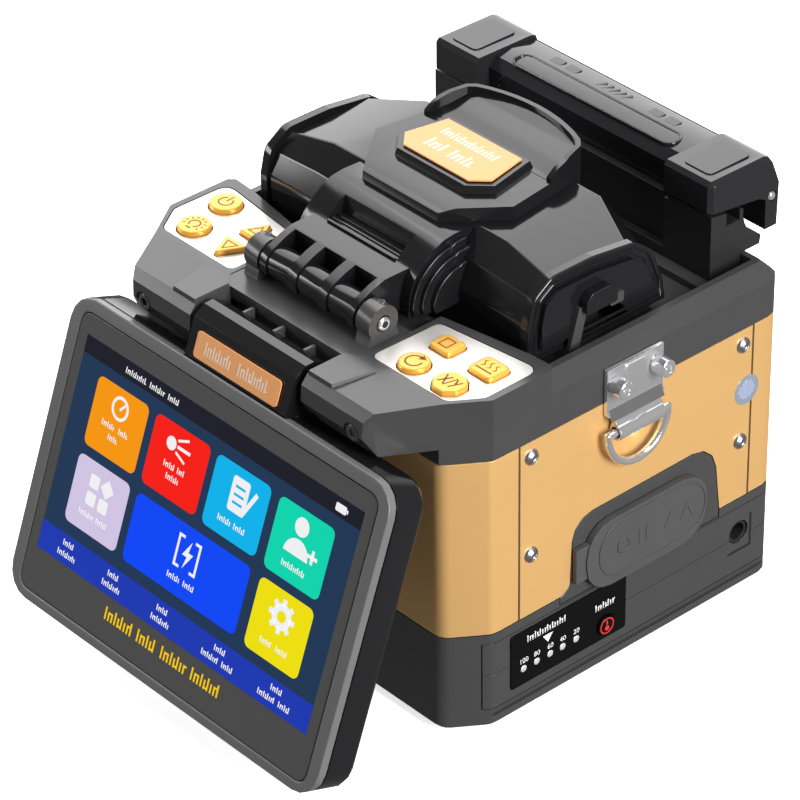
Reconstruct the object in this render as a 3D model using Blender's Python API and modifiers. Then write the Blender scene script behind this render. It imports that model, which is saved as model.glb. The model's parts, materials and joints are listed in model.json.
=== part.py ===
"""Fiber fusion splicer, modelled piece by piece.

Sizes are written in millimetres and scaled by MM when a mesh is made. In these coordinates X is the
object's right, Y its back and Z is up, and Z = 0 is the underside of the base, just above its feet.
The empty "splicer" carries them to the object's own origin: the centre of its bounding box, on the
surface that it stands on. The monitor is drawn upright about its hinge and tilted by its own empty.
"""

import math

import bmesh
import bpy
from mathutils import Matrix, Vector

MM = 0.001
GAP = 0.3

# Body
HALF_WIDTH = 63.4
FRONT_Y, REAR_Y = -30.5, 84.5
CHAMFER_X, CHAMFER_Y = 55.6, -19.2
CORNER_RADIUS = 5.0
BASE_TOP, SHEET_TOP = 30.0, 84.4
SHEET_THICKNESS = 1.8
SEAM_FRONT, SEAM_REAR = -10.3, 74.0
FOOT_HEIGHT, FOOT_RADIUS, FOOT_X, FOOT_Y = 1.5, 6.0, 48.0, (-17.0, 70.0)
CENTRE_Y = 5.15

# Upper housing
RIM_TOP, RIM_CHAMFER = 99.7, 4.1
POD_TOP, DECK_TOP = 103.0, 102.8
WELL_FLOOR, HEATER_SEAT = 94.0, 96.0
CAVITY_TOP = 90.5
ARM_INNER_X, ARM_END_Y, ARM_BLOCK_TOP = 22.0, -46.9, 103.4
ARM_SCREW_X, ARM_SCREW_Z, ARM_SCREW_RADIUS = 41.2, 94.6, 3.1

# Keys
PLATE_BOTTOM, PLATE_TOP = 102.1, 102.9
KEY_BOTTOM, KEY_TOP, POCKET_FLOOR = 100.2, 104.3, 98.5

# Monitor, upright about its hinge axis
MONITOR_AXIS = (0.0, -41.0, 95.5)
MONITOR_TILT = math.radians(-20.0)
SHAFT_RADIUS, SHAFT_HOLE = 2.5, 2.8
SCREEN_FRONT, SHELL_BACK, SHELL_FRONT = -8.49, 5.0, -5.5
SCREEN_HALF_X, SCREEN_TOP, SCREEN_BOTTOM, SCREEN_CORNER = 63.3, -7.9, -95.6, 8.0
WINDOW_HALF_X, WINDOW_TOP, WINDOW_BOTTOM = 59.2, -11.8, -92.8
TONGUE_HALF_X = 20.0

# Wind cover
COVER_AXIS = (0.0, -21.0, 108.0)
BARREL_RADIUS, PIN_RADIUS = 5.0, 2.0
EAR_INNER_X, EAR_OUTER_X = 19.3, 24.5
COVER_HALF_X, COVER_END_X, COVER_RIDGE_X, COVER_WALL = 51.8, 53.4, 33.5, 2.2
COVER_BOTTOM, COVER_PLATFORM, COVER_PEDESTAL, COVER_CREST = 97.1, 125.8, 127.9, 130.7

# Heat-shrink oven
HEATER_AXIS = (0.0, 89.6, 112.8)
HEATER_HALF_X, HEATER_CAP_X, HEATER_PIN_RADIUS = 53.4, 36.2, 1.3
SKIRT_CLEARANCE, HEATER_PAD_TOP = 10.8, 125.9

# Splicing stage
FIBRE_Y, FIBRE_Z = 25.0, 104.0
CLAMP_AXIS_Y, CLAMP_AXIS_Z = 30.4, 106.0

# Battery, and the ports above it on the right side
BATTERY_BOTTOM, BATTERY_TOP, CAP_X = 6.0, 26.9, 59.4
ARCH_BOTTOM = 27.8
PORT_Z, OPM_Y, VFL_Y = 38.9, 26.0, 42.0
FLAP_AXIS = (64.2, 57.2, 38.0)
JACK_Y, JACK_Z = 71.0, 18.8
BUTTON_Y, BUTTON_Z = 20.8, 13.3

# Strap brackets
RING_X, RING_Y, RING_Z = 66.2, 29.0, 76.0
RING_HALF, RING_DROP, RING_WIRE = 10.8, 11.5, 1.15
SCREW_Z, SCREW_PITCH = 90.0, 15.0

FINISHES = {  # base colour, roughness, metallic
    "black_plastic": ((0.045, 0.045, 0.05), 0.22, 0.0),
    "satin_plastic": ((0.06, 0.06, 0.065), 0.5, 0.0),
    "smoked_plastic": ((0.03, 0.03, 0.033), 0.1, 0.0),
    "gold_metal": ((0.80, 0.52, 0.22), 0.38, 0.6),
    "key_gold": ((0.95, 0.50, 0.09), 0.35, 0.3),
    "silver_plate": ((0.82, 0.80, 0.78), 0.3, 0.5),
    "orange_label": ((1.0, 0.48, 0.18), 0.4, 0.0),
    "black_label": ((0.01, 0.01, 0.01), 0.35, 0.0),
    "chrome": ((0.85, 0.85, 0.86), 0.08, 1.0),
    "steel": ((0.55, 0.55, 0.57), 0.25, 1.0),
    "brass": ((0.80, 0.60, 0.25), 0.3, 1.0),
    "rubber": ((0.05, 0.05, 0.05), 0.75, 0.0),
    "glass": ((0.02, 0.03, 0.05), 0.05, 0.0),
    "circuit_board": ((0.02, 0.18, 0.08), 0.4, 0.0),
}


# ---------------------------------------------------------------- scene and outlines


def clear_scene():
    for obj in list(bpy.data.objects):
        bpy.data.objects.remove(obj)


def new_collection(name):
    collection = bpy.data.collections.new(name)
    bpy.context.scene.collection.children.link(collection)
    return collection


def new_empty(name, location, parent=None, tilt=0.0):
    empty = bpy.data.objects.new(name, None)
    PARTS.objects.link(empty)
    empty.parent = parent
    empty.location = Vector(location) * MM
    empty.rotation_euler.x = tilt
    return empty


def arc(centre, radius, start, end, steps):
    """Points on a circle from one angle to another, in degrees."""
    turn = [math.radians(start + (end - start) * i / steps) for i in range(steps + 1)]
    return [(centre[0] + radius * math.cos(a), centre[1] + radius * math.sin(a)) for a in turn]


def circle(centre, radius, sides=24):
    return arc(centre, radius, 0, 360, sides)[:-1]


def rectangle(low, high):
    return [low, (high[0], low[1]), high, (low[0], high[1])]


def mirrored(outline):
    """The same outline on the other side of X = 0, still running counter-clockwise."""
    return [(-x, y) for x, y in reversed(outline)]


def rounded(outline, radii, steps=3):
    """Each corner of an outline replaced by an arc. radii is one radius, or one for each corner."""
    count = len(outline)
    radii = radii if isinstance(radii, (list, tuple)) else [radii] * count
    points = []
    for i, radius in enumerate(radii):
        corner = Vector(outline[i])
        back = (Vector(outline[i - 1]) - corner).normalized()
        ahead = (Vector(outline[(i + 1) % count]) - corner).normalized()
        if radius <= 0:
            points.append(tuple(corner))
            continue
        half = back.angle(ahead) / 2
        reach = radius / math.tan(half)
        centre = corner + (back + ahead).normalized() * (radius / math.sin(half))
        begin, end = corner + back * reach - centre, corner + ahead * reach - centre
        sweep = math.atan2(begin.x * end.y - begin.y * end.x, begin.dot(end))
        for step in range(steps + 1):
            turn = Matrix.Rotation(sweep * step / steps, 2)
            points.append(tuple(centre + turn @ begin))
    return points


def offset(outline, distance):
    """A counter-clockwise outline moved outwards by distance, or inwards where it is negative."""
    count = len(outline)
    moved = []
    for i in range(count):
        before, here, after = (Vector(outline[(i + k) % count]) for k in (-1, 0, 1))
        first = Vector(((here - before).y, -(here - before).x)).normalized()
        second = Vector(((after - here).y, -(after - here).x)).normalized()
        lean = (first + second).normalized()
        moved.append(tuple(here + lean * distance / max(lean.dot(first), 0.3)))
    return moved


# ---------------------------------------------------------------- solids


def finish_of(name, kind):
    colour, roughness, metallic = FINISHES[kind]
    material = bpy.data.materials.new(name + "_finish")
    material.use_nodes = True
    shader = material.node_tree.nodes["Principled BSDF"]
    shader.inputs["Base Color"].default_value = (*colour, 1.0)
    shader.inputs["Roughness"].default_value = roughness
    shader.inputs["Metallic"].default_value = metallic
    return material


def add(name, data, finish, parent=None):
    """Links a mesh or curve as a sub-part, or as a hidden cutter where it has no finish."""
    obj = bpy.data.objects.new(name, data)
    obj.parent = parent or BODY_FRAME
    if finish:
        PARTS.objects.link(obj)
        data.materials.append(finish_of(name, finish))
    else:
        CUTTERS.objects.link(obj)
        obj.hide_render = True
        obj.display_type = "WIRE"
    return obj


def to_mesh(name, bm):
    bmesh.ops.scale(bm, vec=(MM, MM, MM), verts=bm.verts)
    mesh = bpy.data.meshes.new(name)
    bm.to_mesh(mesh)
    bm.free()
    return mesh


def box(name, low, high, finish=None, parent=None):
    low, high = Vector(low), Vector(high)
    bm = bmesh.new()
    place = Matrix.Translation((low + high) / 2) @ Matrix.Diagonal((*(high - low), 1.0))
    bmesh.ops.create_cube(bm, size=1.0, matrix=place)
    return add(name, to_mesh(name, bm), finish, parent)


def along(axis):
    """Turns the Z axis onto the named one."""
    turns = {"X": (math.pi / 2, "Y"), "Y": (-math.pi / 2, "X"), "Z": (0.0, "Z")}
    angle, about = turns[axis]
    return Matrix.Rotation(angle, 4, about)


def rod(name, centre, axis, radius, length, finish=None, sides=24, parent=None):
    bm = bmesh.new()
    place = Matrix.Translation(centre) @ along(axis)
    bmesh.ops.create_cone(bm, cap_ends=True, segments=sides, radius1=radius, radius2=radius,
                          depth=length, matrix=place)
    obj = add(name, to_mesh(name, bm), finish, parent)
    smooth(obj)
    return obj


def prism(name, outline, axis, start, end, finish=None, parent=None, holes=()):
    """An outline extruded along an axis. It is drawn in (Y, Z) for X, (X, Z) for Y, (X, Y) for Z."""
    curve = bpy.data.curves.new(name, "CURVE")
    curve.dimensions = "2D"
    curve.fill_mode = "BOTH"
    curve.extrude = (end - start) / 2 * MM
    for ring in (outline, *holes):
        spline = curve.splines.new("POLY")
        spline.points.add(len(ring) - 1)
        for point, (u, v) in zip(spline.points, ring):
            point.co = (u * MM, v * MM, 0.0, 1.0)
        spline.use_cyclic_u = True
    flat = bpy.data.objects.new(name, curve)
    CUTTERS.objects.link(flat)
    graph = bpy.context.evaluated_depsgraph_get()
    mesh = bpy.data.meshes.new_from_object(flat.evaluated_get(graph))
    bpy.data.objects.remove(flat)
    bpy.data.curves.remove(curve)
    turn = {
        "X": Matrix(((0, 0, 1), (1, 0, 0), (0, 1, 0))),
        "Y": Matrix(((1, 0, 0), (0, 0, -1), (0, 1, 0))),
        "Z": Matrix.Identity(3),
    }[axis].to_4x4()
    middle = (start + end) / 2 * MM
    shift = Vector({"X": (middle, 0, 0), "Y": (0, middle, 0), "Z": (0, 0, middle)}[axis])
    bm = bmesh.new()
    bm.from_mesh(mesh)
    bmesh.ops.remove_doubles(bm, verts=bm.verts, dist=1e-7)
    bmesh.ops.dissolve_limit(bm, angle_limit=math.radians(0.5), verts=bm.verts, edges=bm.edges)
    bmesh.ops.transform(bm, matrix=Matrix.Translation(shift) @ turn, verts=bm.verts)
    bmesh.ops.recalc_face_normals(bm, faces=bm.faces)
    bm.to_mesh(mesh)
    bm.free()
    mesh.materials.clear()
    return add(name, mesh, finish, parent)


def loft(name, sections, finish=None, parent=None):
    """Skins (Y, Z) outlines that stand at given X positions and have the same number of points."""
    bm = bmesh.new()
    rings = []
    for x, outline in sections:
        verts = [bm.verts.new((x, y, z)) for y, z in outline]
        rings.append([bm.edges.new((a, b)) for a, b in zip(verts, verts[1:] + verts[:1])])
    for first, second in zip(rings, rings[1:]):
        bmesh.ops.bridge_loops(bm, edges=first + second)
    bmesh.ops.holes_fill(bm, edges=rings[0] + rings[-1], sides=0)
    bmesh.ops.recalc_face_normals(bm, faces=bm.faces)
    return add(name, to_mesh(name, bm), finish, parent)


def tapered(name, outline, low, high, shrink, finish=None):
    """A prism along Z whose top is smaller than its foot all round."""
    bm = bmesh.new()
    rings = []
    for z, ring in ((low, outline), (high, offset(outline, -shrink))):
        verts = [bm.verts.new((x, y, z)) for x, y in ring]
        rings.append([bm.edges.new((a, b)) for a, b in zip(verts, verts[1:] + verts[:1])])
    bmesh.ops.bridge_loops(bm, edges=rings[0] + rings[1])
    bmesh.ops.holes_fill(bm, edges=rings[0] + rings[1], sides=0)
    bmesh.ops.recalc_face_normals(bm, faces=bm.faces)
    return add(name, to_mesh(name, bm), finish)


def turned(name, profile, centre, axis, finish=None, sides=24, parent=None):
    """A profile of (radius, height) points, top to bottom, turned about the axis through centre."""
    bm = bmesh.new()
    closed = profile[0] == profile[-1]
    points = [bm.verts.new((radius, 0, height)) for radius, height in profile[closed:]]
    for first, second in zip(points, points[1:] + points[:1] * closed):
        bm.edges.new((first, second))
    obj = add(name, to_mesh(name, bm), finish, parent)
    screw = obj.modifiers.new("turn", "SCREW")
    screw.steps = screw.render_steps = sides
    screw.use_merge_vertices = True
    screw.merge_threshold = 0.00001
    obj.location = Vector(centre) * MM
    obj.rotation_euler = along(axis).to_euler()
    return obj


def smooth(obj, angle=35):
    obj.data.shade_smooth()
    obj.data.set_sharp_from_angle(angle=math.radians(angle))


def combine(target, operation, tools):
    for tool in tools:
        boolean = target.modifiers.new(operation.lower(), "BOOLEAN")
        boolean.operation = operation
        boolean.object = tool
    return target


def fuse(target, *tools):
    return combine(target, "UNION", tools)


def cut(target, *tools):
    return combine(target, "DIFFERENCE", tools)


def keep_inside(target, tool):
    return combine(target, "INTERSECT", [tool])


def bevel(obj, width, segments=1):
    modifier = obj.modifiers.new("bevel", "BEVEL")
    modifier.width = width * MM
    modifier.segments = segments
    return obj


def chamfer(obj, width, wanted, segments=1):
    """Bevels the edges whose two ends both pass the test, which reads millimetres."""
    bm = bmesh.new()
    bm.from_mesh(obj.data)
    edges = [e for e in bm.edges if all(wanted(v.co / MM) for v in e.verts) and e.calc_face_angle() > 0.2]
    bmesh.ops.bevel(bm, geom=edges, offset=width * MM, offset_type="OFFSET", segments=segments,
                    profile=0.5, affect="EDGES", clamp_overlap=True)
    bm.to_mesh(obj.data)
    bm.free()
    return obj


def shoulder_top(obj, inset):
    """Adds a 45 degree shoulder on top of a prism that stands along Z."""
    bm = bmesh.new()
    bm.from_mesh(obj.data)
    top = [face for face in bm.faces if face.normal.z > 0.9]
    bmesh.ops.inset_region(bm, faces=top, thickness=inset * MM, use_even_offset=True)
    verts = list({vert for face in top for vert in face.verts})
    bmesh.ops.translate(bm, vec=(0, 0, inset * MM), verts=verts)
    bm.to_mesh(obj.data)
    bm.free()
    return obj


def pivot(obj, point):
    """Puts the origin of a moving piece on its joint's axis, without moving its shape."""
    obj.data.transform(Matrix.Translation(-Vector(point) * MM))
    obj.location = Vector(point) * MM
    return obj


# ---------------------------------------------------------------- body


def body_outline(shrink=0.0):
    """The plan of the body: chamfered front corners and small round ones at the back."""
    corners = [(CHAMFER_X, FRONT_Y), (HALF_WIDTH, CHAMFER_Y), (HALF_WIDTH, REAR_Y)]
    corners = [(-CHAMFER_X, FRONT_Y), *corners, (-HALF_WIDTH, REAR_Y), (-HALF_WIDTH, CHAMFER_Y)]
    return rounded(offset(corners, -shrink), max(CORNER_RADIUS - shrink, 0.8))


def arch_outline(grow=0.0):
    """The black arch that rises into the right side panel, in (Y, Z)."""
    corners = [(4.6, ARCH_BOTTOM), (63.0, ARCH_BOTTOM), (63.0, 30.3), (60.2, 53.0), (9.0, 52.4), (8.2, 31.5),
               (4.6, 30.0)]
    return offset(rounded(corners, [0, 0, 0, 9.0, 7.0, 2.5, 0]), grow)


def base_tray():
    """The lower case: a thick floor with the battery bay, and a tub wall behind the metal sheets."""
    tray = prism("base_tray", body_outline(), "Z", 0.0, BASE_TOP, "black_plastic")
    chamfer(tray, 1.2, lambda p: p.z < 0.1)
    inset = SHEET_THICKNESS + GAP
    wall = prism("tub_wall", body_outline(inset), "Z", BASE_TOP - 1.0, SHEET_TOP - GAP)
    cavity = prism("tub_cavity", body_outline(inset + 2.0), "Z", BASE_TOP - 0.5, SHEET_TOP + 1.0)
    bay = box("battery_bay", (-56.0, -18.3, 6.0), (HALF_WIDTH + 1.0, 77.3, BATTERY_TOP))
    cap_recess = box("battery_cap_recess", (CAP_X - GAP, -21.8, BATTERY_BOTTOM - GAP),
                     (HALF_WIDTH + 3.0, REAR_Y + 3.0, BATTERY_TOP + GAP))
    groove = box("side_groove", (HALF_WIDTH - 1.0, CHAMFER_Y, 3.4), (HALF_WIDTH + 1.0, REAR_Y - 1.0, 5.6))
    arch_seat = box("arch_seat", (HALF_WIDTH - inset, 4.3, ARCH_BOTTOM - GAP),
                    (HALF_WIDTH + 1.0, 63.3, BASE_TOP + 1.0))
    ports = box("port_well_opening", (49.6, 12.0, BASE_TOP), (HALF_WIDTH, 56.2, 48.2))
    fuse(tray, wall)
    cut(tray, cavity, bay, cap_recess, groove, arch_seat, ports)
    for index, (x, y) in enumerate((x, y) for y in FOOT_Y for x in (-FOOT_X, FOOT_X)):
        cut(tray, rod(f"foot_pocket_{index}", (x, y, 0.0), "Z", FOOT_RADIUS + GAP, 3.0))


def feet():
    sides = (("left", -FOOT_X), ("right", FOOT_X))
    for end, y in zip(("front", "rear"), FOOT_Y):
        for side, x in sides:
            foot = rod(f"foot_{end}_{side}", (x, y, -0.15), "Z", FOOT_RADIUS, 2 * FOOT_HEIGHT - GAP, "rubber")
            chamfer(foot, 0.4, lambda p: p.z < -1.0)


def sheet(name, path):
    """A metal sheet that stands on the base and follows a path, with its outer face on the path."""
    bm = bmesh.new()
    foot = [bm.verts.new((x, y, BASE_TOP + GAP)) for x, y in path]
    edges = [bm.edges.new(pair) for pair in zip(foot, foot[1:])]
    risen = bmesh.ops.extrude_edge_only(bm, edges=edges)["geom"]
    top = [v for v in risen if isinstance(v, bmesh.types.BMVert)]
    bmesh.ops.translate(bm, vec=(0, 0, SHEET_TOP - BASE_TOP - GAP), verts=top)
    obj = add(name, to_mesh(name, bm), "gold_metal")
    solidify = obj.modifiers.new("thickness", "SOLIDIFY")
    solidify.thickness = SHEET_THICKNESS * MM
    solidify.offset = 1.0
    solidify.use_even_offset = True
    smooth(obj)
    return obj


def metal_sheets():
    """Four gold sheets wrap the body: front and rear ones that turn the corners, and two sides."""
    outline = body_outline()
    front = [(x, y) for x, y in outline if y < SEAM_FRONT]
    start = front.index(max(front, key=lambda p: (p[0] > 0, p[1])))
    front = front[start + 1:] + front[:start + 1]
    rear = [(x, y) for x, y in outline if y > SEAM_REAR]
    seam_front, seam_rear = SEAM_FRONT - GAP / 2, SEAM_REAR + GAP / 2
    sheet("front_panel", [(-HALF_WIDTH, seam_front), *front, (HALF_WIDTH, seam_front)])
    sheet("rear_panel", [(HALF_WIDTH, seam_rear), *rear, (-HALF_WIDTH, seam_rear)])
    low, high = SEAM_FRONT + GAP / 2, SEAM_REAR - GAP / 2
    sheet("side_panel_left", [(-HALF_WIDTH, high), (-HALF_WIDTH, low)])
    right = sheet("side_panel_right", [(HALF_WIDTH, low), (HALF_WIDTH, high)])
    cut(right, prism("arch_cutter", arch_outline(GAP), "X", HALF_WIDTH - 5.0, HALF_WIDTH + 5.0))


def port_block():
    """The black arch in the right side, with the well behind the port cover."""
    inner_x = HALF_WIDTH - SHEET_THICKNESS
    block = prism("port_block", arch_outline(), "X", inner_x, HALF_WIDTH, "black_plastic")
    fuse(block, box("port_well", (50.0, 12.6, BASE_TOP + GAP), (inner_x + 0.5, 55.8, 47.8)))
    pocket = rounded(rectangle((15.0, 31.8), (53.0, 46.2)), 4.0)
    cut(block, prism("port_pocket", pocket, "X", 51.5, HALF_WIDTH + 1.0))


def ports():
    profile = [(1.25, 8.0), (3.2, 8.0), (3.2, 3.0), (5.0, 3.0), (5.0, 0.0), (1.25, 0.0), (1.25, 8.0)]
    for name, y in (("opm_port", OPM_Y), ("vfl_port", VFL_Y)):
        turned(name, profile, (51.8, y, PORT_Z), "X", "steel", 20)


def port_cover():
    """The rubber flap over both optical ports. It bends open about its rear end."""
    outline = rounded(rectangle((12.0, 27.5), (56.0, 48.5)), 9.0, 4)
    flap = prism("port_cover", outline, "X", HALF_WIDTH + GAP, 65.7, "rubber")
    plug = rounded(rectangle((16.0, 32.6), (52.0, 45.4)), 3.5)
    fuse(flap, prism("flap_plug", plug, "X", 61.5, 64.5),
         box("flap_tab", (HALF_WIDTH + GAP, 8.6, 33.2), (65.2, 14.0, 43.8)))
    pivot(flap, FLAP_AXIS)


def battery_half(name, low, high, hollow_low, hollow_high):
    """Half of the pack's case: a long tray behind the cap that closes the bay flush with the body."""
    half = prism(name, body_outline(), "Z", low, high, "black_plastic")
    keep_inside(half, box(f"{name}_cap", (CAP_X, -21.5, low - 1.0), (HALF_WIDTH + 1.0, REAR_Y + 1.0, high + 1.0)))
    case_low, case_high = max(low, 6.3), min(high, BATTERY_TOP - GAP)
    fuse(half, box(f"{name}_case", (-55.5, -17.8, case_low), (CAP_X + 1.0, 76.8, case_high)))
    hollow = box(f"{name}_hollow", (-53.5, -15.8, hollow_low), (57.4, 74.8, hollow_high))
    jack = rod(f"{name}_jack_hole", (HALF_WIDTH, JACK_Y, JACK_Z), "X", 3.6, 16.0)
    return cut(half, hollow, jack)


def battery():
    """The battery slides out sideways. Its charge gauge is a black label with a push button in it."""
    lower = battery_half("battery_case_lower", BATTERY_BOTTOM, 16.9, 8.3, 18.0)
    battery_half("battery_case_upper", 17.1, BATTERY_TOP, 16.0, 24.6)
    cut(lower, rod("button_hole", (HALF_WIDTH, BUTTON_Y, BUTTON_Z), "X", 3.0 + GAP, 16.0))
    face = HALF_WIDTH + 0.1
    hole = circle((BUTTON_Y, BUTTON_Z), 3.0 + GAP)[::-1]
    outline = rounded(rectangle((-13.3, 9.0), (28.2, 26.2)), 0.8, 2)
    prism("gauge_label", outline, "X", face, face + 0.4, "black_label", holes=[hole])
    button = rod("push_button", (HALF_WIDTH - 0.5, BUTTON_Y, BUTTON_Z), "X", 3.0, 3.2, "black_label")
    pivot(button, (HALF_WIDTH, BUTTON_Y, BUTTON_Z))
    jack = [(0, 3.0), (0.7, 3.0), (0.7, -6.0), (2.6, -6.0), (2.6, 6.0), (3.3, 6.0), (3.3, -8.0), (0, -8.0)]
    turned("dc_jack", jack, (HALF_WIDTH - 6.5, JACK_Y, JACK_Z), "X", "satin_plastic", 20)


# ---------------------------------------------------------------- upper housing and keys


def pod_outline():
    """The right key pod and its hinge arm, in plan."""
    corners = [
        (ARM_INNER_X, ARM_END_Y), (45.2, ARM_END_Y), (47.2, -44.3), (CHAMFER_X, FRONT_Y),
        (HALF_WIDTH, CHAMFER_Y), (HALF_WIDTH, 0.6), (61.8, 2.3), (54.2, 1.8),
        (26.2, -2.8), (26.2, -29.3), (ARM_INNER_X, -32.9),
    ]
    return corners


def arm_profile():
    """The side view that the pods and their arms share: a rounded nose about the hinge axis."""
    return [
        (12.0, SHEET_TOP + 0.2), (12.0, POD_TOP), (-29.3, POD_TOP), (-44.3, 102.3), (-46.5, 99.7),
        (ARM_END_Y, 95.0), (-43.6, 89.3), (FRONT_Y, 89.3), (FRONT_Y, SHEET_TOP + 0.2),
    ][::-1]


def plate_outline(side):
    corners = [(27.6, -28.0), (55.6, -28.0), (61.2, -19.6), (61.0, -1.2), (28.0, -5.2)]
    outline = rounded(corners, [2.0, 3.0, 3.0, 3.0, 2.0])
    return outline if side > 0 else mirrored(outline)


def key_outlines():
    """Each key's outline in plan, by node name."""
    octagon = [(51.3 + 4.9 * math.cos(a), -22.7 + 4.9 * math.sin(a))
               for a in (math.radians(22.5 + 45 * i) for i in range(8))]
    return {
        "key_power": circle((-53.1, -8.4), 4.65, 20),
        "key_light": circle((-50.1, -21.8), 4.65, 20),
        "key_down": rounded([(-40.4, -18.7), (-35.8, -27.3), (-31.4, -18.7)], 0.7, 2),
        "key_up": rounded([(-40.4, -15.0), (-31.6, -15.0), (-36.1, -6.4)], 0.7, 2),
        "key_reset": circle((38.2, -22.9), 4.3, 20),
        "key_stop": rounded(rectangle((34.2, -14.8), (41.8, -7.9)), 1.2, 2),
        "key_heat": rounded(rectangle((48.8, -15.0), (57.3, -7.1)), 1.4, 2),
        "key_axis": octagon,
    }


def top_housing():
    low = SHEET_TOP + 0.2
    housing = prism("top_housing", body_outline(), "Z", low, RIM_TOP - RIM_CHAMFER, "black_plastic")
    shoulder_top(housing, RIM_CHAMFER)
    for side, outline in (("right", pod_outline()), ("left", mirrored(pod_outline()))):
        pod = prism(f"pod_{side}", outline, "Z", low, POD_TOP)
        keep_inside(pod, prism(f"arm_profile_{side}", arm_profile(), "X", -70.0, 70.0))
        fuse(housing, pod)
        block = [(ARM_INNER_X, -44.8), (31.6, -44.8), (34.6, -31.6), (26.4, -29.8), (ARM_INNER_X, -32.6)]
        block = block if side == "right" else mirrored(block)
        fuse(housing, tapered(f"arm_block_{side}", block, 100.0, ARM_BLOCK_TOP, 0.5))
    slot_y = -32.9
    deck = [(FRONT_Y, low), (5.0, low), (5.0, 100.0), (-13.0, 100.0), (-13.0, DECK_TOP),
            (slot_y, DECK_TOP), (slot_y, 99.5), (FRONT_Y, 97.5)]
    fuse(housing, prism("deck", deck, "X", -27.0, 27.0))
    for side in (-1, 1):
        low_x, high_x = sorted((side * EAR_INNER_X, side * EAR_OUTER_X))
        bow = arc(COVER_AXIS[1:], BARREL_RADIUS, -30, 210, 12)
        ear = [*bow, (-26.4, DECK_TOP - 1.0), (-15.6, DECK_TOP - 1.0)]
        fuse(housing, prism(f"cover_ear_{side}", ear, "X", low_x, high_x))
    well = [(57.2, 3.4), (57.2, 63.0), (-57.2, 63.0), (-57.2, 3.4), (-54.0, 2.2), (-26.6, -2.2),
            (26.6, -2.2), (54.0, 2.2)]
    cut(
        housing,
        prism("housing_cavity", body_outline(2.6), "Z", low - 1.0, CAVITY_TOP),
        prism("splice_well", well, "Z", WELL_FLOOR, 120.0),
        box("heater_seat", (-57.2, 62.0, HEATER_SEAT), (57.2, 78.6, 120.0)),
        box("lens_slot", (-6.0, 9.0, low), (6.0, 41.0, 96.0)),
        rod("shaft_bore", MONITOR_AXIS, "X", SHAFT_HOLE, 88.0),
        rod("cover_pin_bore", COVER_AXIS, "X", PIN_RADIUS + GAP, 60.0),
    )
    for side, name in ((-1, "left"), (1, "right")):
        screw_spot = (side * ARM_SCREW_X, ARM_END_Y, ARM_SCREW_Z)
        cut(housing, rod(f"arm_screw_recess_{name}", screw_spot, "Y", ARM_SCREW_RADIUS, 1.6))
        recess = offset(plate_outline(side), GAP)
        cut(housing, prism(f"plate_recess_{name}", recess, "Z", PLATE_BOTTOM - GAP, 110.0))
    for name, outline in key_outlines().items():
        cut(housing, prism(f"{name}_pocket", offset(outline, 0.35), "Z", POCKET_FLOOR, 110.0))


def key_plates_and_keys():
    plates = {}
    for side, name in ((-1, "left"), (1, "right")):
        plates[side] = prism(f"key_plate_{name}", plate_outline(side), "Z", PLATE_BOTTOM, PLATE_TOP,
                             "silver_plate")
    for name, outline in key_outlines().items():
        side = 1 if outline[0][0] > 0 else -1
        cut(plates[side], prism(f"{name}_hole", offset(outline, 0.35), "Z", 95.0, 110.0))
        key = prism(name, outline, "Z", KEY_BOTTOM, KEY_TOP, "key_gold")
        chamfer(key, 0.4, lambda p: p.z > KEY_TOP - 0.1)
        centre = [sum(values) / len(outline) for values in zip(*outline)]
        pivot(key, (*centre, KEY_TOP))


# ---------------------------------------------------------------- strap brackets


def strap_brackets():
    """A plate on each side with a curled tube that holds the D-ring, and its two cap screws."""
    for side, name in ((-1, "left"), (1, "right")):
        plate_x = HALF_WIDTH + GAP
        profile = [(plate_x, 81.8), (RING_X - 1.4, 77.0), (RING_X + 0.8, 77.6), (plate_x + 1.2, 82.6),
                   (plate_x + 1.2, 95.0), (plate_x, 95.0)]
        tube = circle((RING_X, RING_Z), 2.3, 20)
        if side < 0:
            profile, tube = mirrored(profile), mirrored(tube)
        low_y, high_y = RING_Y - 8.0, RING_Y + 8.0
        bracket = prism(f"bracket_{name}", profile, "Y", low_y - 2.0, high_y + 2.0, "chrome")
        fuse(bracket, prism(f"bracket_tube_{name}", tube, "Y", low_y, high_y))
        trim_low, trim_high = 60.0, 81.0
        for end, y in (("front", low_y - 5.0), ("rear", high_y)):
            x = sorted((side * 60.0, side * 72.0))
            cut(bracket, box(f"bracket_trim_{end}_{name}", (x[0], y, trim_low), (x[1], y + 5.0, trim_high)))
        cut(bracket, rod(f"ring_bore_{name}", (side * RING_X, RING_Y, RING_Z), "Y", 1.6, 30.0))
        for end, y in (("front", RING_Y - SCREW_PITCH / 2), ("rear", RING_Y + SCREW_PITCH / 2)):
            cap_screw(f"bracket_screw_{end}_{name}", side, y, plate_x + 1.2 + 0.2)
            hole_x = side * plate_x
            cut(bracket, rod(f"screw_hole_{end}_{name}", (hole_x, y, SCREW_Z), "X", 1.7, 8.0, sides=16))
        d_ring(f"d_ring_{name}", side)


def cap_screw(name, side, y, seat_x):
    """A socket cap screw whose shank ends short of the housing wall."""
    head = [(0, 2.6), (1.3, 2.6), (1.3, 4.4), (2.3, 4.4), (2.6, 4.1), (2.6, 0), (1.4, 0), (1.4, -1.4), (0, -1.4)]
    screw = turned(name, head, (side * seat_x, y, SCREW_Z), "X", "chrome", 16)
    if side < 0:
        screw.rotation_euler = (0.0, -math.pi / 2, 0.0)


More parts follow.
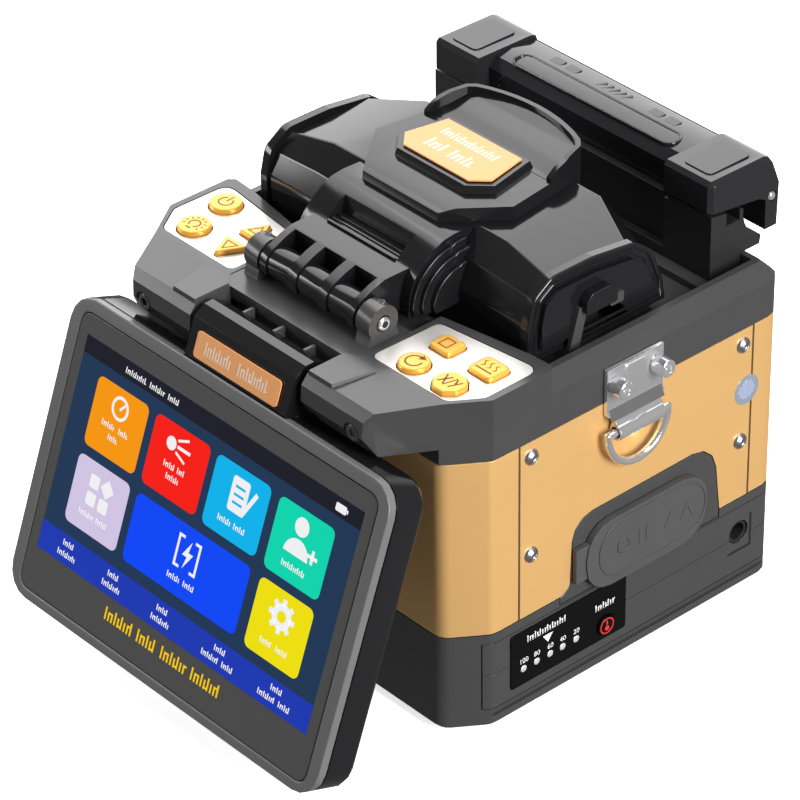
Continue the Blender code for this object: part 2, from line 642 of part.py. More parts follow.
def d_ring(name, side):
    """A round wire bent to a D: a straight bar in the bracket's tube and half an ellipse below it."""
    curve = bpy.data.curves.new(name, "CURVE")
    curve.dimensions = "3D"
    curve.bevel_depth = RING_WIRE * MM
    curve.bevel_resolution = 2
    bow = [(RING_HALF * math.cos(a), -RING_DROP * math.sin(a))
           for a in (math.pi * i / 14 for i in range(15))]
    route = [*bow, (-RING_HALF + 2.0, 0.9), (RING_HALF - 2.0, 0.9)]
    route = [(y, 0.0 if abs(z - 0.9) < 1e-6 else z) for y, z in route]
    spline = curve.splines.new("POLY")
    spline.points.add(len(route) - 1)
    for point, (y, z) in zip(spline.points, route):
        point.co = (0.0, y * MM, z * MM, 1.0)
    spline.use_cyclic_u = True
    ring = add(name, curve, "chrome")
    ring.location = Vector((side * RING_X, RING_Y, RING_Z)) * MM


# ---------------------------------------------------------------- monitor


def screen_outline(shrink=0.0):
    low = (-SCREEN_HALF_X + shrink, SCREEN_BOTTOM + shrink)
    high = (SCREEN_HALF_X - shrink, SCREEN_TOP - shrink)
    return rounded(rectangle(low, high), max(SCREEN_CORNER - shrink, 2.0), 4)


def monitor():
    frame = new_empty("monitor_frame", MONITOR_AXIS, BODY_FRAME, MONITOR_TILT)
    back = prism("monitor_back", screen_outline(), "Y", SHELL_FRONT, SHELL_BACK, "black_plastic", frame)
    chamfer(back, 2.5, lambda p: p.y > SHELL_BACK - 0.1, 2)
    tongue = [(2.0, -9.5), (-7.2, -9.5), (-7.1, 3.0), (-4.6, 6.2), (-2.0, 7.2), (2.2, 6.6), (4.8, 3.0), (4.8, -9.5)]
    tongue = prism("tongue", tongue, "X", -TONGUE_HALF_X, TONGUE_HALF_X, parent=frame)
    cavity = prism("shell_cavity", screen_outline(2.4), "Y", SHELL_FRONT - 1.0, SHELL_BACK - 2.4, parent=frame)
    fuse(cut(back, cavity), tongue)
    cut(back, rod("tongue_bore", (0, 0, 0), "X", SHAFT_HOLE, 60.0, parent=frame))

    window_low, window_high = (-WINDOW_HALF_X, WINDOW_BOTTOM), (WINDOW_HALF_X, WINDOW_TOP)
    window = rounded(rectangle(window_low, window_high), 3.5)
    bezel_back = SHELL_FRONT - GAP
    bezel = prism("monitor_bezel", screen_outline(), "Y", SCREEN_FRONT, bezel_back, "black_plastic", frame,
                  holes=[window[::-1]])
    cut(bezel, box("tongue_relief", (-TONGUE_HALF_X - GAP, -7.6, -9.9), (TONGUE_HALF_X + GAP, 0.0, 0.0),
                   parent=frame))
    prism("display_glass", offset(window, -GAP), "Y", SCREEN_FRONT + 0.2, SCREEN_FRONT + 1.4, "glass", frame)
    box("lcd_panel", (-57.5, -6.7, -86.0), (57.5, -4.0, -14.5), "satin_plastic", frame)
    label = rounded(rectangle((-16.5, -6.85), (16.5, 0.5)), 1.0, 2)
    prism("tongue_label", label, "Y", -7.8, -7.4, "orange_label", frame)
    rod("monitor_hinge_shaft", MONITOR_AXIS, "X", SHAFT_RADIUS, 87.0, "steel")


# ---------------------------------------------------------------- wind cover


def flange_profile(grow=0.0):
    """The lip at each end of the wind cover, seen from its end, in (Y, Z)."""
    corners = [(3.0, COVER_BOTTOM), (51.9, COVER_BOTTOM), (50.6, 104.5), (46.6, 114.2), (40.6, 118.8),
               (25.6, 120.8), (11.3, 120.8), (4.7, 116.4), (2.9, 108.6)]
    return offset(rounded(corners, [0, 0, 5.0, 6.0, 5.0, 8.0, 5.0, 5.0, 5.0], 2), grow)


def shell_sections(end_x, shrink=0.0):
    """The cover's body falls from a flat middle to lower, narrower ends. shrink gives its chamber."""
    bottom = COVER_BOTTOM - 2 * shrink
    end = [(3.9, bottom), (50.3, bottom), (49.3, 104.5), (45.4, 113.4), (38.6, 118.5), (12.6, 118.7),
           (6.6, 115.2), (3.7, 108.6)]
    middle = [(4.0, bottom), (55.0, bottom), (54.4, 106.0), (52.0, 114.5), (46.2, 122.0), (13.4, 122.0),
              (6.8, 115.8), (3.8, 108.6)]
    radii = [0, 0, 5.0, 4.0, 1.2, 1.2, 1.2, 4.0]
    radii = [radius and max(radius - shrink, 0.8) for radius in radii]
    ends, middles = (rounded(offset(outline, -shrink), radii, 2) for outline in (end, middle))
    return [(-end_x, ends), (-COVER_RIDGE_X, middles), (COVER_RIDGE_X, middles), (end_x, ends)]


def label_outline():
    right = [(14.1, 36.5), (16.8, 23.4), (12.4, 19.0)]
    return [(-x, y) for x, y in right] + right[::-1]


def cover_leaf():
    """The cover's hinge leaf: a flat bridge whose fingers curl over the barrel."""
    curl = arc(COVER_AXIS[1:], BARREL_RADIUS, 105, 215, 8)
    profile = [(-3.0, 104.2), (-3.0, 115.6), (-14.8, 115.6), (-18.8, 114.4), *curl, (-19.0, 104.0)][::-1]
    leaf = prism("hinge_leaf", profile, "X", -18.3, 18.3)
    for x in (-11.8, 0.0, 11.8):
        cut(leaf, box(f"leaf_window_{int(x)}", (x - 4.2, -30.0, 100.0), (x + 4.2, -15.4, 120.0)))
    return leaf


def cover_crest():
    """The raised back of the cover: a thin curved rim around a dish that sweeps up from the platform."""
    plan = [(24.4, 37.0), (24.2, 42.0), (22.0, 50.0), *arc((0.0, 7.6), 48.6, 66, 114, 10), (-22.0, 50.0),
            (-24.2, 42.0), (-24.4, 37.0)]
    rim = [(34.0, 110.0), (57.5, 110.0), (57.5, COVER_CREST), (52.0, COVER_CREST), (45.0, 130.2),
           (39.5, 128.6), (36.4, 126.2), (34.0, 125.4)]
    crest = keep_inside(prism("crest", plan, "Z", 110.0, 131.5), prism("crest_rim", rim, "X", -30.0, 30.0))
    sweep = [(30.0, COVER_PLATFORM + 0.1), (39.0, COVER_PLATFORM + 0.1), (44.5, 126.9), (50.0, 128.5),
             (57.5, 130.0), (57.5, 136.0), (30.0, 136.0)]
    inside = offset(plan, -1.4)[1:-1]
    inside = [(22.8, 30.0), *inside, (-22.8, 30.0)]
    dish = keep_inside(prism("crest_dish", inside, "Z", 110.0, 140.0),
                       prism("crest_sweep", sweep, "X", -30.0, 30.0))
    return cut(crest, dish)


def cover_platform():
    """The plateau that carries the label's pedestal, with a long slope along its front edge."""
    plan = [(-14.8, 6.0), (14.8, 6.0), (27.5, 21.6), (25.2, 39.5), (-25.2, 39.5), (-27.5, 21.6)]
    platform = tapered("platform", plan, 117.0, COVER_PLATFORM, 0.8)
    slope = [(2.0, 123.2), (10.4, COVER_PLATFORM), (10.4, 128.0), (2.0, 128.0)]
    return cut(platform, prism("platform_slope", slope, "X", -30.0, 30.0))


def wind_cover():
    cover = loft("wind_cover", shell_sections(COVER_HALF_X - 1.0), "black_plastic")
    hump = [(12.0, 101.0), (12.0, 122.0), (6.0, 122.2), (2.0, 121.7), (-2.0, 119.8), (-5.6, 116.9),
            (-8.5, 113.2), (-9.9, 108.6), (-10.2, 103.6)]
    scoop = [(0.8, 124.0), (-1.6, 115.9), (-12.0, 115.9), (-12.0, 124.0)]
    hump = prism("hump", hump, "X", -21.8, 21.8)
    cut(hump, prism("scoop", scoop, "X", -13.6, 13.6))
    fuse(
        cover,
        hump,
        cover_platform(),
        tapered("pedestal", offset(label_outline(), 2.9), 124.0, COVER_PEDESTAL, 1.3),
        cover_crest(),
        cover_leaf(),
        rod("hinge_barrel", COVER_AXIS, "X", BARREL_RADIUS - 0.5, 2 * EAR_INNER_X - 0.8, sides=24),
    )
    for side in (-1, 1):
        lip_start, lip_end = sorted((side * (COVER_HALF_X - 2.2), side * COVER_HALF_X))
        cap_start, cap_end = sorted((side * (COVER_HALF_X - 1.0), side * COVER_END_X))
        fuse(cover, prism(f"lip_{side}", flange_profile(), "X", lip_start, lip_end),
             prism(f"end_cap_{side}", flange_profile(-4.0), "X", cap_start, cap_end))
    cut(
        cover,
        loft("chamber", shell_sections(COVER_HALF_X - 2.4, COVER_WALL)),
        box("platform_hollow", (-19.0, 14.0, 115.0), (19.0, 36.0, COVER_PLATFORM - COVER_WALL)),
        rod("barrel_bore", COVER_AXIS, "X", PIN_RADIUS + GAP, 60.0),
        prism("hump_hollow", [(-6.0, 95.0), (6.2, 95.0), (6.2, 116.5), (-2.0, 112.5), (-6.0, 106.0)], "X",
              -18.5, 18.5),
    )
    slot = [(15.8, 90.0), (39.5, 90.0), (39.5, 97.2), (35.2, 102.8), (27.0, 109.4), (19.5, 109.4)]
    for side in (-1, 1):
        start, end = sorted((side * 47.0, side * 56.0))
        cut(cover, prism(f"fibre_slot_{side}", slot, "X", start, end))
    pivot(cover, COVER_AXIS)
    label_bottom = COVER_PEDESTAL + 0.2
    label = prism("cover_label", label_outline(), "Z", label_bottom, label_bottom + 0.5, "orange_label")
    pivot(label, COVER_AXIS)
    rod("cover_hinge_pin", COVER_AXIS, "X", PIN_RADIUS, 2 * EAR_OUTER_X + 0.6, "steel")


# ---------------------------------------------------------------- heat-shrink oven


def heater():
    seat = HEATER_SEAT + GAP
    clear_arc = arc(HEATER_AXIS[1:], SKIRT_CLEARANCE, 176, 250, 6)
    profile = [(67.0, seat), (78.3, seat), (78.3, RIM_TOP + GAP), (85.5, RIM_TOP + GAP), *clear_arc[::-1],
               (67.0, 115.4)]
    base = prism("heater_base", profile, "X", -HEATER_HALF_X, HEATER_HALF_X, "satin_plastic")
    cut(
        base,
        box("heater_trough", (-33.7, 71.4, 103.0), (33.7, 90.0, 120.0)),
        box("fibre_channel", (-60.0, 72.6, 110.6), (60.0, 77.6, 120.0)),
        box("front_relief", (-36.0, 60.0, 99.0), (36.0, 69.0, 120.0)),
        box("wall_relief", (-37.2, 60.0, 114.2), (37.2, 73.0, 120.0)),
    )
    lug_x = (28.0, 33.0)
    lug = [(80.2, 100.5), (85.5, 100.5), *arc(HEATER_AXIS[1:], 2.6, -60, 120, 8), (82.0, 105.5), (80.2, 103.5)]
    for side in (-1, 1):
        start, end = sorted((side * lug_x[0], side * lug_x[1]))
        fuse(base, prism(f"hinge_lug_{side}", lug, "X", start, end))
    cut(base, rod("lug_bore", HEATER_AXIS, "X", HEATER_PIN_RADIUS + GAP, 120.0, sides=16))

    plate = box("heater_plate", (-32.5, 72.6, 103.3), (32.5, 79.4, 108.5), "brass")
    groove = [(73.6, 112.0), (76.0, 105.6), (78.4, 112.0)]
    cut(plate, prism("heater_groove", groove, "X", -40.0, 40.0))

    cap = [(66.4, 116.4), (84.8, 113.9), (87.2, 112.6), (87.2, 103.5), (91.6, 103.5), (92.0, 116.4),
           (88.7, 124.8), (87.0, 125.4), (67.6, 125.6), (66.4, 124.4)]
    middle = [(71.3, 114.6), (84.8, 113.9), (87.2, 112.6), (87.2, 103.5), (91.6, 103.5), (92.0, 116.0),
              (90.0, 122.6), (87.5, 123.9), (79.0, 124.8), (74.0, 124.0), (71.3, 121.4)]
    lid = prism("heater_lid", middle, "X", -HEATER_CAP_X - 0.5, HEATER_CAP_X + 0.5, "smoked_plastic")
    for side in (-1, 1):
        start, end = sorted((side * HEATER_CAP_X, side * HEATER_HALF_X))
        lid_cap = prism(f"lid_cap_{side}", cap, "X", start, end)
        chamfer(lid_cap, 1.2, lambda p: p.z > 116.0 and p.y < 91.0 and abs(p.x) > 50.0)
        pad = rounded(rectangle((start + 3.6, 69.6), (end - 3.6, 85.0)), 1.5)
        fuse(lid, lid_cap, prism(f"lid_pad_{side}", pad, "Z", 120.0, HEATER_PAD_TOP))
        slot_start, slot_end = sorted((side * (lug_x[0] - 0.5), side * (lug_x[1] + 0.5)))
        cut(lid, box(f"lug_slot_{side}", (slot_start, 83.0, 100.0), (slot_end, 95.0, 117.0)))
    hollow = [(73.2, 110.0), (85.2, 110.0), (85.2, 121.4), (79.0, 122.4), (73.2, 121.0)]
    cut(lid, prism("lid_hollow", hollow, "X", -34.2, 34.2))
    cut(lid, rod("lid_bore", HEATER_AXIS, "X", HEATER_PIN_RADIUS + GAP, 120.0, sides=16))
    pivot(lid, HEATER_AXIS)
    rod("heater_hinge_pin", HEATER_AXIS, "X", HEATER_PIN_RADIUS, 2 * HEATER_HALF_X - 0.6, "steel", 16)


# ---------------------------------------------------------------- inside


def splicing_stage():
    """What the fibre lies in: V-groove block, electrodes, sheath bases and their clamp lids."""
    low = WELL_FLOOR + GAP
    block = box("vgroove_block", (-13.0, 8.5, low), (13.0, 41.5, 97.5), "satin_plastic")
    for name, x in (("left", -9.0), ("right", 9.0)):
        tower = box(f"groove_tower_{name}", (x - 3.0, 21.0, 97.0), (x + 3.0, 29.0, FIBRE_Z + 0.4))
        fuse(block, tower)
    for name, y in (("front", 11.5), ("rear", 38.5)):
        fuse(block, box(f"electrode_post_{name}", (-3.0, y - 2.5, 97.0), (3.0, y + 2.5, FIBRE_Z + 2.4)))
        cut(block, rod(f"electrode_bore_{name}", (0, y, FIBRE_Z), "Y", 1.3 + GAP, 8.0, sides=16))
    notch = [(FIBRE_Y - 0.9, FIBRE_Z + 1.0), (FIBRE_Y, FIBRE_Z - 0.4), (FIBRE_Y + 0.9, FIBRE_Z + 1.0)]
    cut(block, prism("v_groove", notch, "X", -15.0, 15.0),
        box("lens_window", (-4.5, 15.5, 90.0), (4.5, 34.5, 100.0)))
    rod_profile = [(0, 8.0), (1.3, 4.0), (1.3, -8.5), (0, -8.5)]
    turned("electrode_front", rod_profile, (0, 16.0, FIBRE_Z), "Y", "steel", 16)
    turned("electrode_rear", [(r, -h) for r, h in reversed(rod_profile)], (0, 34.0, FIBRE_Z), "Y", "steel", 16)

    for side, name in ((-1, "left"), (1, "right")):
        x = sorted((side * 17.0, side * 45.0))
        base = box(f"sheath_base_{name}", (x[0], 15.0, low), (x[1], 35.0, FIBRE_Z), "satin_plastic")
        cut(base, box(f"sheath_groove_{name}", (x[0] - 1.0, FIBRE_Y - 1.0, FIBRE_Z - 1.2),
                      (x[1] + 1.0, FIBRE_Y + 1.0, FIBRE_Z + 1.0)),
            box(f"clamp_relief_{name}", (x[0] + 2.0, 28.4, FIBRE_Z - 1.5), (x[1] - 2.0, 36.0, FIBRE_Z + 1.0)))
        lid = box(f"sheath_clamp_{name}", (x[0] + 3.0, 20.2, FIBRE_Z + GAP), (x[1] - 3.0, 31.6, 107.4), "steel")
        pivot(bevel(lid, 0.6), (0.0, CLAMP_AXIS_Y, CLAMP_AXIS_Z))


def optics_and_board():
    """Two microscopes look up at the splice from below, and the circuit board lies in the tub."""
    profile = [(0, -2.0), (2.0, -2.0), (2.0, 0.0), (3.2, 0.0), (3.2, -8.0), (4.6, -8.0), (4.6, -26.0), (0, -26.0)]
    for name, lean in (("front", -1), ("rear", 1)):
        scope = turned(f"microscope_{name}", profile, (0, FIBRE_Y + lean * 16.5, FIBRE_Z - 16.5), "Z",
                       "satin_plastic", 20)
        scope.rotation_euler = (lean * math.radians(45.0), 0.0, 0.0)
    box("main_board", (-54.0, -22.0, 34.0), (46.0, 76.0, 35.6), "circuit_board")


clear_scene()
PARTS = new_collection("fiber_fusion_splicer")
CUTTERS = new_collection("cutters")
BODY_FRAME = new_empty("splicer", (0.0, -CENTRE_Y, FOOT_HEIGHT))

base_tray()
feet()
metal_sheets()
port_block()
ports()
port_cover()
battery()
top_housing()
key_plates_and_keys()
strap_brackets()
monitor()
wind_cover()
heater()
splicing_stage()
optics_and_board()
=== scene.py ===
"""Fiber fusion splicer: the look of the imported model, in a plain studio.

Pieces are drawn in the case's own millimetres: X to the object's right, Y to its back, Z up from the
underside of the base. CASE carries them to the frame. SCREEN does the same for what is on the monitor:
there X and Z lie in the display, Z = 0 at the hinge, and Y points out of its back.
"""

import json
import math

import bmesh
import bpy
from mathutils import Matrix, Vector

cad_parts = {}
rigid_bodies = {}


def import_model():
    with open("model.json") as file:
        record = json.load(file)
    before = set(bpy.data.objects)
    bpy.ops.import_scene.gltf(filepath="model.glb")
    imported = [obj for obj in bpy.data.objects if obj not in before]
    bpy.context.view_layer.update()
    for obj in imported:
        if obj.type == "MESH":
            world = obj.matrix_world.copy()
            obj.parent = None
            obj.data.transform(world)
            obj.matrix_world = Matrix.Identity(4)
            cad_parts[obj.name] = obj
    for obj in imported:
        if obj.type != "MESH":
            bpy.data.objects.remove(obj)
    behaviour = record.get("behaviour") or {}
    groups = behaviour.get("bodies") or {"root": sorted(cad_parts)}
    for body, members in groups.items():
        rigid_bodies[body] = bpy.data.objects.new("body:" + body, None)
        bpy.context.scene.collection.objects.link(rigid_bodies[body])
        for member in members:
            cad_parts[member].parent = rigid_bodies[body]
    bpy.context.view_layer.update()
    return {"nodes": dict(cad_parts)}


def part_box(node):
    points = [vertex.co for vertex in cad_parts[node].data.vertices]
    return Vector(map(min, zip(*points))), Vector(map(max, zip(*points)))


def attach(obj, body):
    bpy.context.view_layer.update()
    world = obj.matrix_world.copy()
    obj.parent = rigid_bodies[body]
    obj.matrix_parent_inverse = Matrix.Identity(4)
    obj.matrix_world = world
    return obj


for leftover in list(bpy.data.objects):
    bpy.data.objects.remove(leftover)
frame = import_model()
NODES = frame["nodes"]

MM = 0.001
CASE_REAR_Y = 84.5
HALF_WIDTH = 63.4
MONITOR_TILT = math.radians(-20.0)
MONITOR_AXIS = (0.0, -41.0, 95.5)
KEY_TOP = 104.3
SIDES = ((-1, "left"), (1, "right"))

case_low, case_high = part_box("base_tray")
CASE = Matrix.Translation((0, case_high.y - CASE_REAR_Y * MM, case_low.z)) @ Matrix.Diagonal((MM, MM, MM, 1))
SCREEN = CASE @ Matrix.Translation(MONITOR_AXIS) @ Matrix.Rotation(MONITOR_TILT, 4, "X")


# ---------------------------------------------------------------- outlines


def arc(centre, radius, start, end, steps):
    """Points on a circle from one angle to another, in degrees."""
    turn = [math.radians(start + (end - start) * i / steps) for i in range(steps + 1)]
    return [(centre[0] + radius * math.cos(a), centre[1] + radius * math.sin(a)) for a in turn]


def circle(centre, radius, sides=32):
    return arc(centre, radius, 0, 360, sides)[:-1]


def rectangle(low, high):
    return [low, (high[0], low[1]), high, (low[0], high[1])]


def mirrored(outline):
    return [(-x, y) for x, y in reversed(outline)]


def rounded(outline, radii, steps=5):
    """Each corner of an outline replaced by an arc. radii is one radius, or one for each corner."""
    count = len(outline)
    radii = radii if isinstance(radii, (list, tuple)) else [radii] * count
    points = []
    for i, radius in enumerate(radii):
        corner = Vector(outline[i])
        back = (Vector(outline[i - 1]) - corner).normalized()
        ahead = (Vector(outline[(i + 1) % count]) - corner).normalized()
        if radius <= 0:
            points.append(tuple(corner))
            continue
        half = back.angle(ahead) / 2
        reach = radius / math.tan(half)
        centre = corner + (back + ahead).normalized() * (radius / math.sin(half))
        begin, end = corner + back * reach - centre, corner + ahead * reach - centre
        sweep = math.atan2(begin.x * end.y - begin.y * end.x, begin.dot(end))
        for step in range(steps + 1):
            points.append(tuple(centre + Matrix.Rotation(sweep * step / steps, 2) @ begin))
    return points


def offset(outline, distance):
    """A counter-clockwise outline moved outwards by distance, or inwards where it is negative."""
    count = len(outline)
    moved = []
    for i in range(count):
        before, here, after = (Vector(outline[(i + k) % count]) for k in (-1, 0, 1))
        first = Vector(((here - before).y, -(here - before).x)).normalized()
        second = Vector(((after - here).y, -(after - here).x)).normalized()
        lean = (first + second).normalized()
        moved.append(tuple(here + lean * distance / max(lean.dot(first), 0.3)))
    return moved


def bar(start, end, width):
    """The outline of a straight stroke."""
    a, b = Vector(start), Vector(end)
    side = Vector((-(b - a).y, (b - a).x)).normalized() * width / 2
    return [tuple(p) for p in (a - side, b - side, b + side, a + side)]


def span(side, near, far):
    """The lower and the upper X of what lies between two distances from the middle, on one side."""
    return sorted((side * near, side * far))


# ---------------------------------------------------------------- materials


BUMP_DEPTH = 0.0001
SCREEN_GLOW = 0.75


def node_tree(name):
    material = bpy.data.materials.new(name)
    material.use_nodes = True
    return material, material.node_tree, material.node_tree.nodes["Principled BSDF"]


def add_node(tree, kind, **values):
    node = tree.nodes.new(kind)
    for key, value in values.items():
        node.inputs[key].default_value = value
    return node


def grain(tree, scale, detail=2.0):
    """Noise fixed to the piece, with its scale in features per metre."""
    place = tree.nodes.new("ShaderNodeTexCoord")
    noise = add_node(tree, "ShaderNodeTexNoise", Scale=scale, Detail=detail, Roughness=0.6)
    tree.links.new(place.outputs["Object"], noise.inputs["Vector"])
    return noise


def spread(tree, source, low, high):
    """The source's 0 to 1 mapped to a range."""
    node = add_node(tree, "ShaderNodeMapRange")
    node.inputs["To Min"].default_value = low
    node.inputs["To Max"].default_value = high
    tree.links.new(source, node.inputs["Value"])
    return node.outputs["Result"]


def surface(name, colour, roughness, metallic=0.0, vary=0.08, grain_scale=3500.0, bump=0.05,
            patch_scale=60.0, specular=0.5):
    """A moulded or metal surface: fine grain in its bump, and slow changes in its colour and gloss."""
    material, tree, shader = node_tree(name)
    patches = grain(tree, patch_scale, 4.0)
    ramp = tree.nodes.new("ShaderNodeValToRGB")
    ramp.color_ramp.elements[0].color = (*[c * (1 - vary) for c in colour], 1)
    ramp.color_ramp.elements[1].color = (*[min(c * (1 + vary), 1) for c in colour], 1)
    tree.links.new(patches.outputs["Fac"], ramp.inputs["Fac"])
    tree.links.new(ramp.outputs["Color"], shader.inputs["Base Color"])
    gloss = spread(tree, patches.outputs["Fac"], roughness * (1 - vary), roughness * (1 + vary))
    tree.links.new(gloss, shader.inputs["Roughness"])
    fine = grain(tree, grain_scale)
    relief = add_node(tree, "ShaderNodeBump", Strength=bump, Distance=BUMP_DEPTH)
    tree.links.new(fine.outputs["Fac"], relief.inputs["Height"])
    tree.links.new(relief.outputs["Normal"], shader.inputs["Normal"])
    shader.inputs["Metallic"].default_value = metallic
    shader.inputs["Specular IOR Level"].default_value = specular
    return material


def lit(name, colour):
    """A part of the display's picture: light from behind a glossy face."""
    material, tree, shader = node_tree(name)
    cells = grain(tree, 9000.0, 0.0)
    glow = spread(tree, cells.outputs["Fac"], SCREEN_GLOW * 0.97, SCREEN_GLOW * 1.03)
    tree.links.new(glow, shader.inputs["Emission Strength"])
    shader.inputs["Base Color"].default_value = (*[c * 0.25 for c in colour], 1)
    shader.inputs["Emission Color"].default_value = (*colour, 1)
    shader.inputs["Roughness"].default_value = 0.06
    shader.inputs["Specular IOR Level"].default_value = 0.35
    return material


def brushed(name, colour, roughness):
    """Metal ground in one direction: its grain is squeezed along the piece's Y."""
    material, tree, shader = node_tree(name)
    place = tree.nodes.new("ShaderNodeTexCoord")
    squash = tree.nodes.new("ShaderNodeMapping")
    squash.inputs["Scale"].default_value = (1.0, 30.0, 1.0)
    noise = add_node(tree, "ShaderNodeTexNoise", Scale=400.0, Detail=5.0)
    tree.links.new(place.outputs["Object"], squash.inputs["Vector"])
    tree.links.new(squash.outputs["Vector"], noise.inputs["Vector"])
    tree.links.new(spread(tree, noise.outputs["Fac"], roughness * 0.8, roughness * 1.25),
                   shader.inputs["Roughness"])
    relief = add_node(tree, "ShaderNodeBump", Strength=0.06, Distance=BUMP_DEPTH)
    tree.links.new(noise.outputs["Fac"], relief.inputs["Height"])
    tree.links.new(relief.outputs["Normal"], shader.inputs["Normal"])
    shader.inputs["Base Color"].default_value = (*colour, 1)
    shader.inputs["Metallic"].default_value = 1.0
    return material


def smoked(name):
    """The oven lid's dark tinted plastic. It is drawn opaque, with a slight haze in its gloss."""
    material, tree, shader = node_tree(name)
    haze = grain(tree, 120.0, 3.0)
    tree.links.new(spread(tree, haze.outputs["Fac"], 0.05, 0.09), shader.inputs["Roughness"])
    shader.inputs["Base Color"].default_value = (0.018, 0.018, 0.02, 1)
    return material


MATERIALS = {
    "case": surface("case_plastic", (0.055, 0.055, 0.056), 0.24, vary=0.06, bump=0.03),
    "cover": surface("cover_plastic", (0.010, 0.010, 0.011), 0.12, vary=0.06, bump=0.008),
    "satin": surface("satin_plastic", (0.02, 0.02, 0.021), 0.36, bump=0.1),
    "gold": surface("gold_metal", (0.92, 0.55, 0.21), 0.4, metallic=0.5, vary=0.03, bump=0.10,
                    grain_scale=6000.0),
    "key": surface("key_gold", (0.93, 0.47, 0.07), 0.3, metallic=0.35, vary=0.04, bump=0.03),
    "ink": surface("key_ink", (0.20, 0.07, 0.01), 0.5, vary=0.05, bump=0.0),
    "silver": surface("silver_plate", (0.83, 0.80, 0.77), 0.3, metallic=0.45, vary=0.03, bump=0.08),
    "orange": surface("orange_label", (0.93, 0.40, 0.13), 0.42, vary=0.03, bump=0.03),
    "pale": surface("label_print", (1.0, 0.80, 0.62), 0.4, vary=0.03, bump=0.0),
    "white": surface("white_print", (0.85, 0.85, 0.85), 0.4, vary=0.03, bump=0.0),
    "red": surface("red_print", (0.75, 0.03, 0.02), 0.4, vary=0.03, bump=0.0),
    "black": surface("black_label", (0.002, 0.002, 0.002), 0.3, vary=0.03, bump=0.01, specular=0.2),
    # Near-black: the colour of dark printed marks, and painted shade inside holes and screw sockets.
    "print_and_hole_shade": surface("dark_print_and_painted_hole_shade", (0.004, 0.004, 0.004), 0.6, vary=0.03, bump=0.02),
    "chrome": surface("chrome", (0.86, 0.86, 0.87), 0.12, metallic=0.82, vary=0.03, bump=0.01),
    "steel": brushed("ground_steel", (0.56, 0.56, 0.58), 0.28),
    "brass": brushed("oven_plate", (0.80, 0.58, 0.26), 0.32),
    "rubber": surface("rubber", (0.07, 0.07, 0.072), 0.5, vary=0.08, bump=0.25, grain_scale=2500.0),
    "smoked": smoked("smoked_plastic"),
    # Grey rather than near-black: painted light, making up for the little lamp light that reaches the
    # display's front.
    "glass": surface("display_glass", (0.10, 0.10, 0.10), 0.05, vary=0.02, bump=0.0, patch_scale=20.0),
    "bezel": surface("bezel_plastic", (0.16, 0.16, 0.162), 0.25, vary=0.05, bump=0.05),
    "bronze": surface("panel_joint", (0.10, 0.045, 0.012), 0.5, vary=0.05, bump=0.0),
    # Grey for the painted shade on the strap brackets' bends.
    "bend_shade": surface("painted_bend_shade", (0.10, 0.10, 0.10), 0.3, vary=0.03, bump=0.0),
    "seal_dark": surface("seal_pattern", (0.52, 0.62, 0.88), 0.3, metallic=0.5, vary=0.2, patch_scale=900.0),
    "board": surface("circuit_board", (0.02, 0.16, 0.07), 0.4, vary=0.2, bump=0.3, grain_scale=900.0),
    "seal": surface("seal_foil", (0.62, 0.68, 0.78), 0.25, metallic=0.7, vary=0.12, patch_scale=900.0),
}

# For each material: the CAD nodes that take it, and how far their edges are rounded, in millimetres.
NODE_LOOKS = {
    "case": (["base_tray", "port_block", "battery_case_lower", "battery_case_upper", "top_housing"], 0.5),
    "cover": (["wind_cover", "monitor_back"], 0.7),
    "bezel": (["monitor_bezel"], 0.5),
    "smoked": (["heater_lid"], 0.6),
    "satin": (["heater_base", "vgroove_block", "sheath_base_left", "sheath_base_right", "dc_jack",
               "lcd_panel", "microscope_front", "microscope_rear"], 0.3),
    "gold": (["front_panel", "rear_panel", "side_panel_left", "side_panel_right"], 0.15),
    "key": ([n for n in NODES if n.startswith("key_") and "plate" not in n], 0.3),
    "silver": (["key_plate_left", "key_plate_right"], 0.15),
    "orange": (["tongue_label", "cover_label"], 0.1),
    "black": (["gauge_label", "push_button"], 0.1),
    "chrome": ([n for n in NODES if "bracket" in n or "d_ring" in n], 0.2),
    "steel": (["opm_port", "vfl_port", "monitor_hinge_shaft", "cover_hinge_pin", "heater_hinge_pin",
               "electrode_front", "electrode_rear", "sheath_clamp_left", "sheath_clamp_right"], 0.15),
    "brass": (["heater_plate"], 0.2),
    "rubber": ([n for n in NODES if n.startswith("foot_") or n == "port_cover"], 0.5),
    "glass": (["display_glass"], 0.1),
    "board": (["main_board"], 0.0),
}
WELD_DISTANCE = 0.000002
ROUNDED_ANGLE = math.radians(25.0)


def soften(obj, width):
    """Rounds a piece's edges by width, in millimetres, and evens out its shading."""
    if width > 0:
        rounding = obj.modifiers.new("rounding", "BEVEL")
        rounding.width = width * MM
        rounding.segments = 3
        rounding.limit_method = "ANGLE"
        rounding.angle_limit = ROUNDED_ANGLE
        rounding.use_clamp_overlap = True
    even = obj.modifiers.new("even_shading", "WEIGHTED_NORMAL")
    even.keep_sharp = False
    even.weight = 50


def dress_nodes():
    for look, (names, width) in NODE_LOOKS.items():
        for name in names:
            node = NODES[name]
            node.data.materials.clear()
            node.data.materials.append(MATERIALS[look])
            weld = node.modifiers.new("weld", "WELD")
            weld.merge_threshold = WELD_DISTANCE
            soften(node, width)


# ---------------------------------------------------------------- pieces


TURNED_SIDES = 32
SCREW_RADIUS, SCREW_HEIGHT = 2.4, 1.3


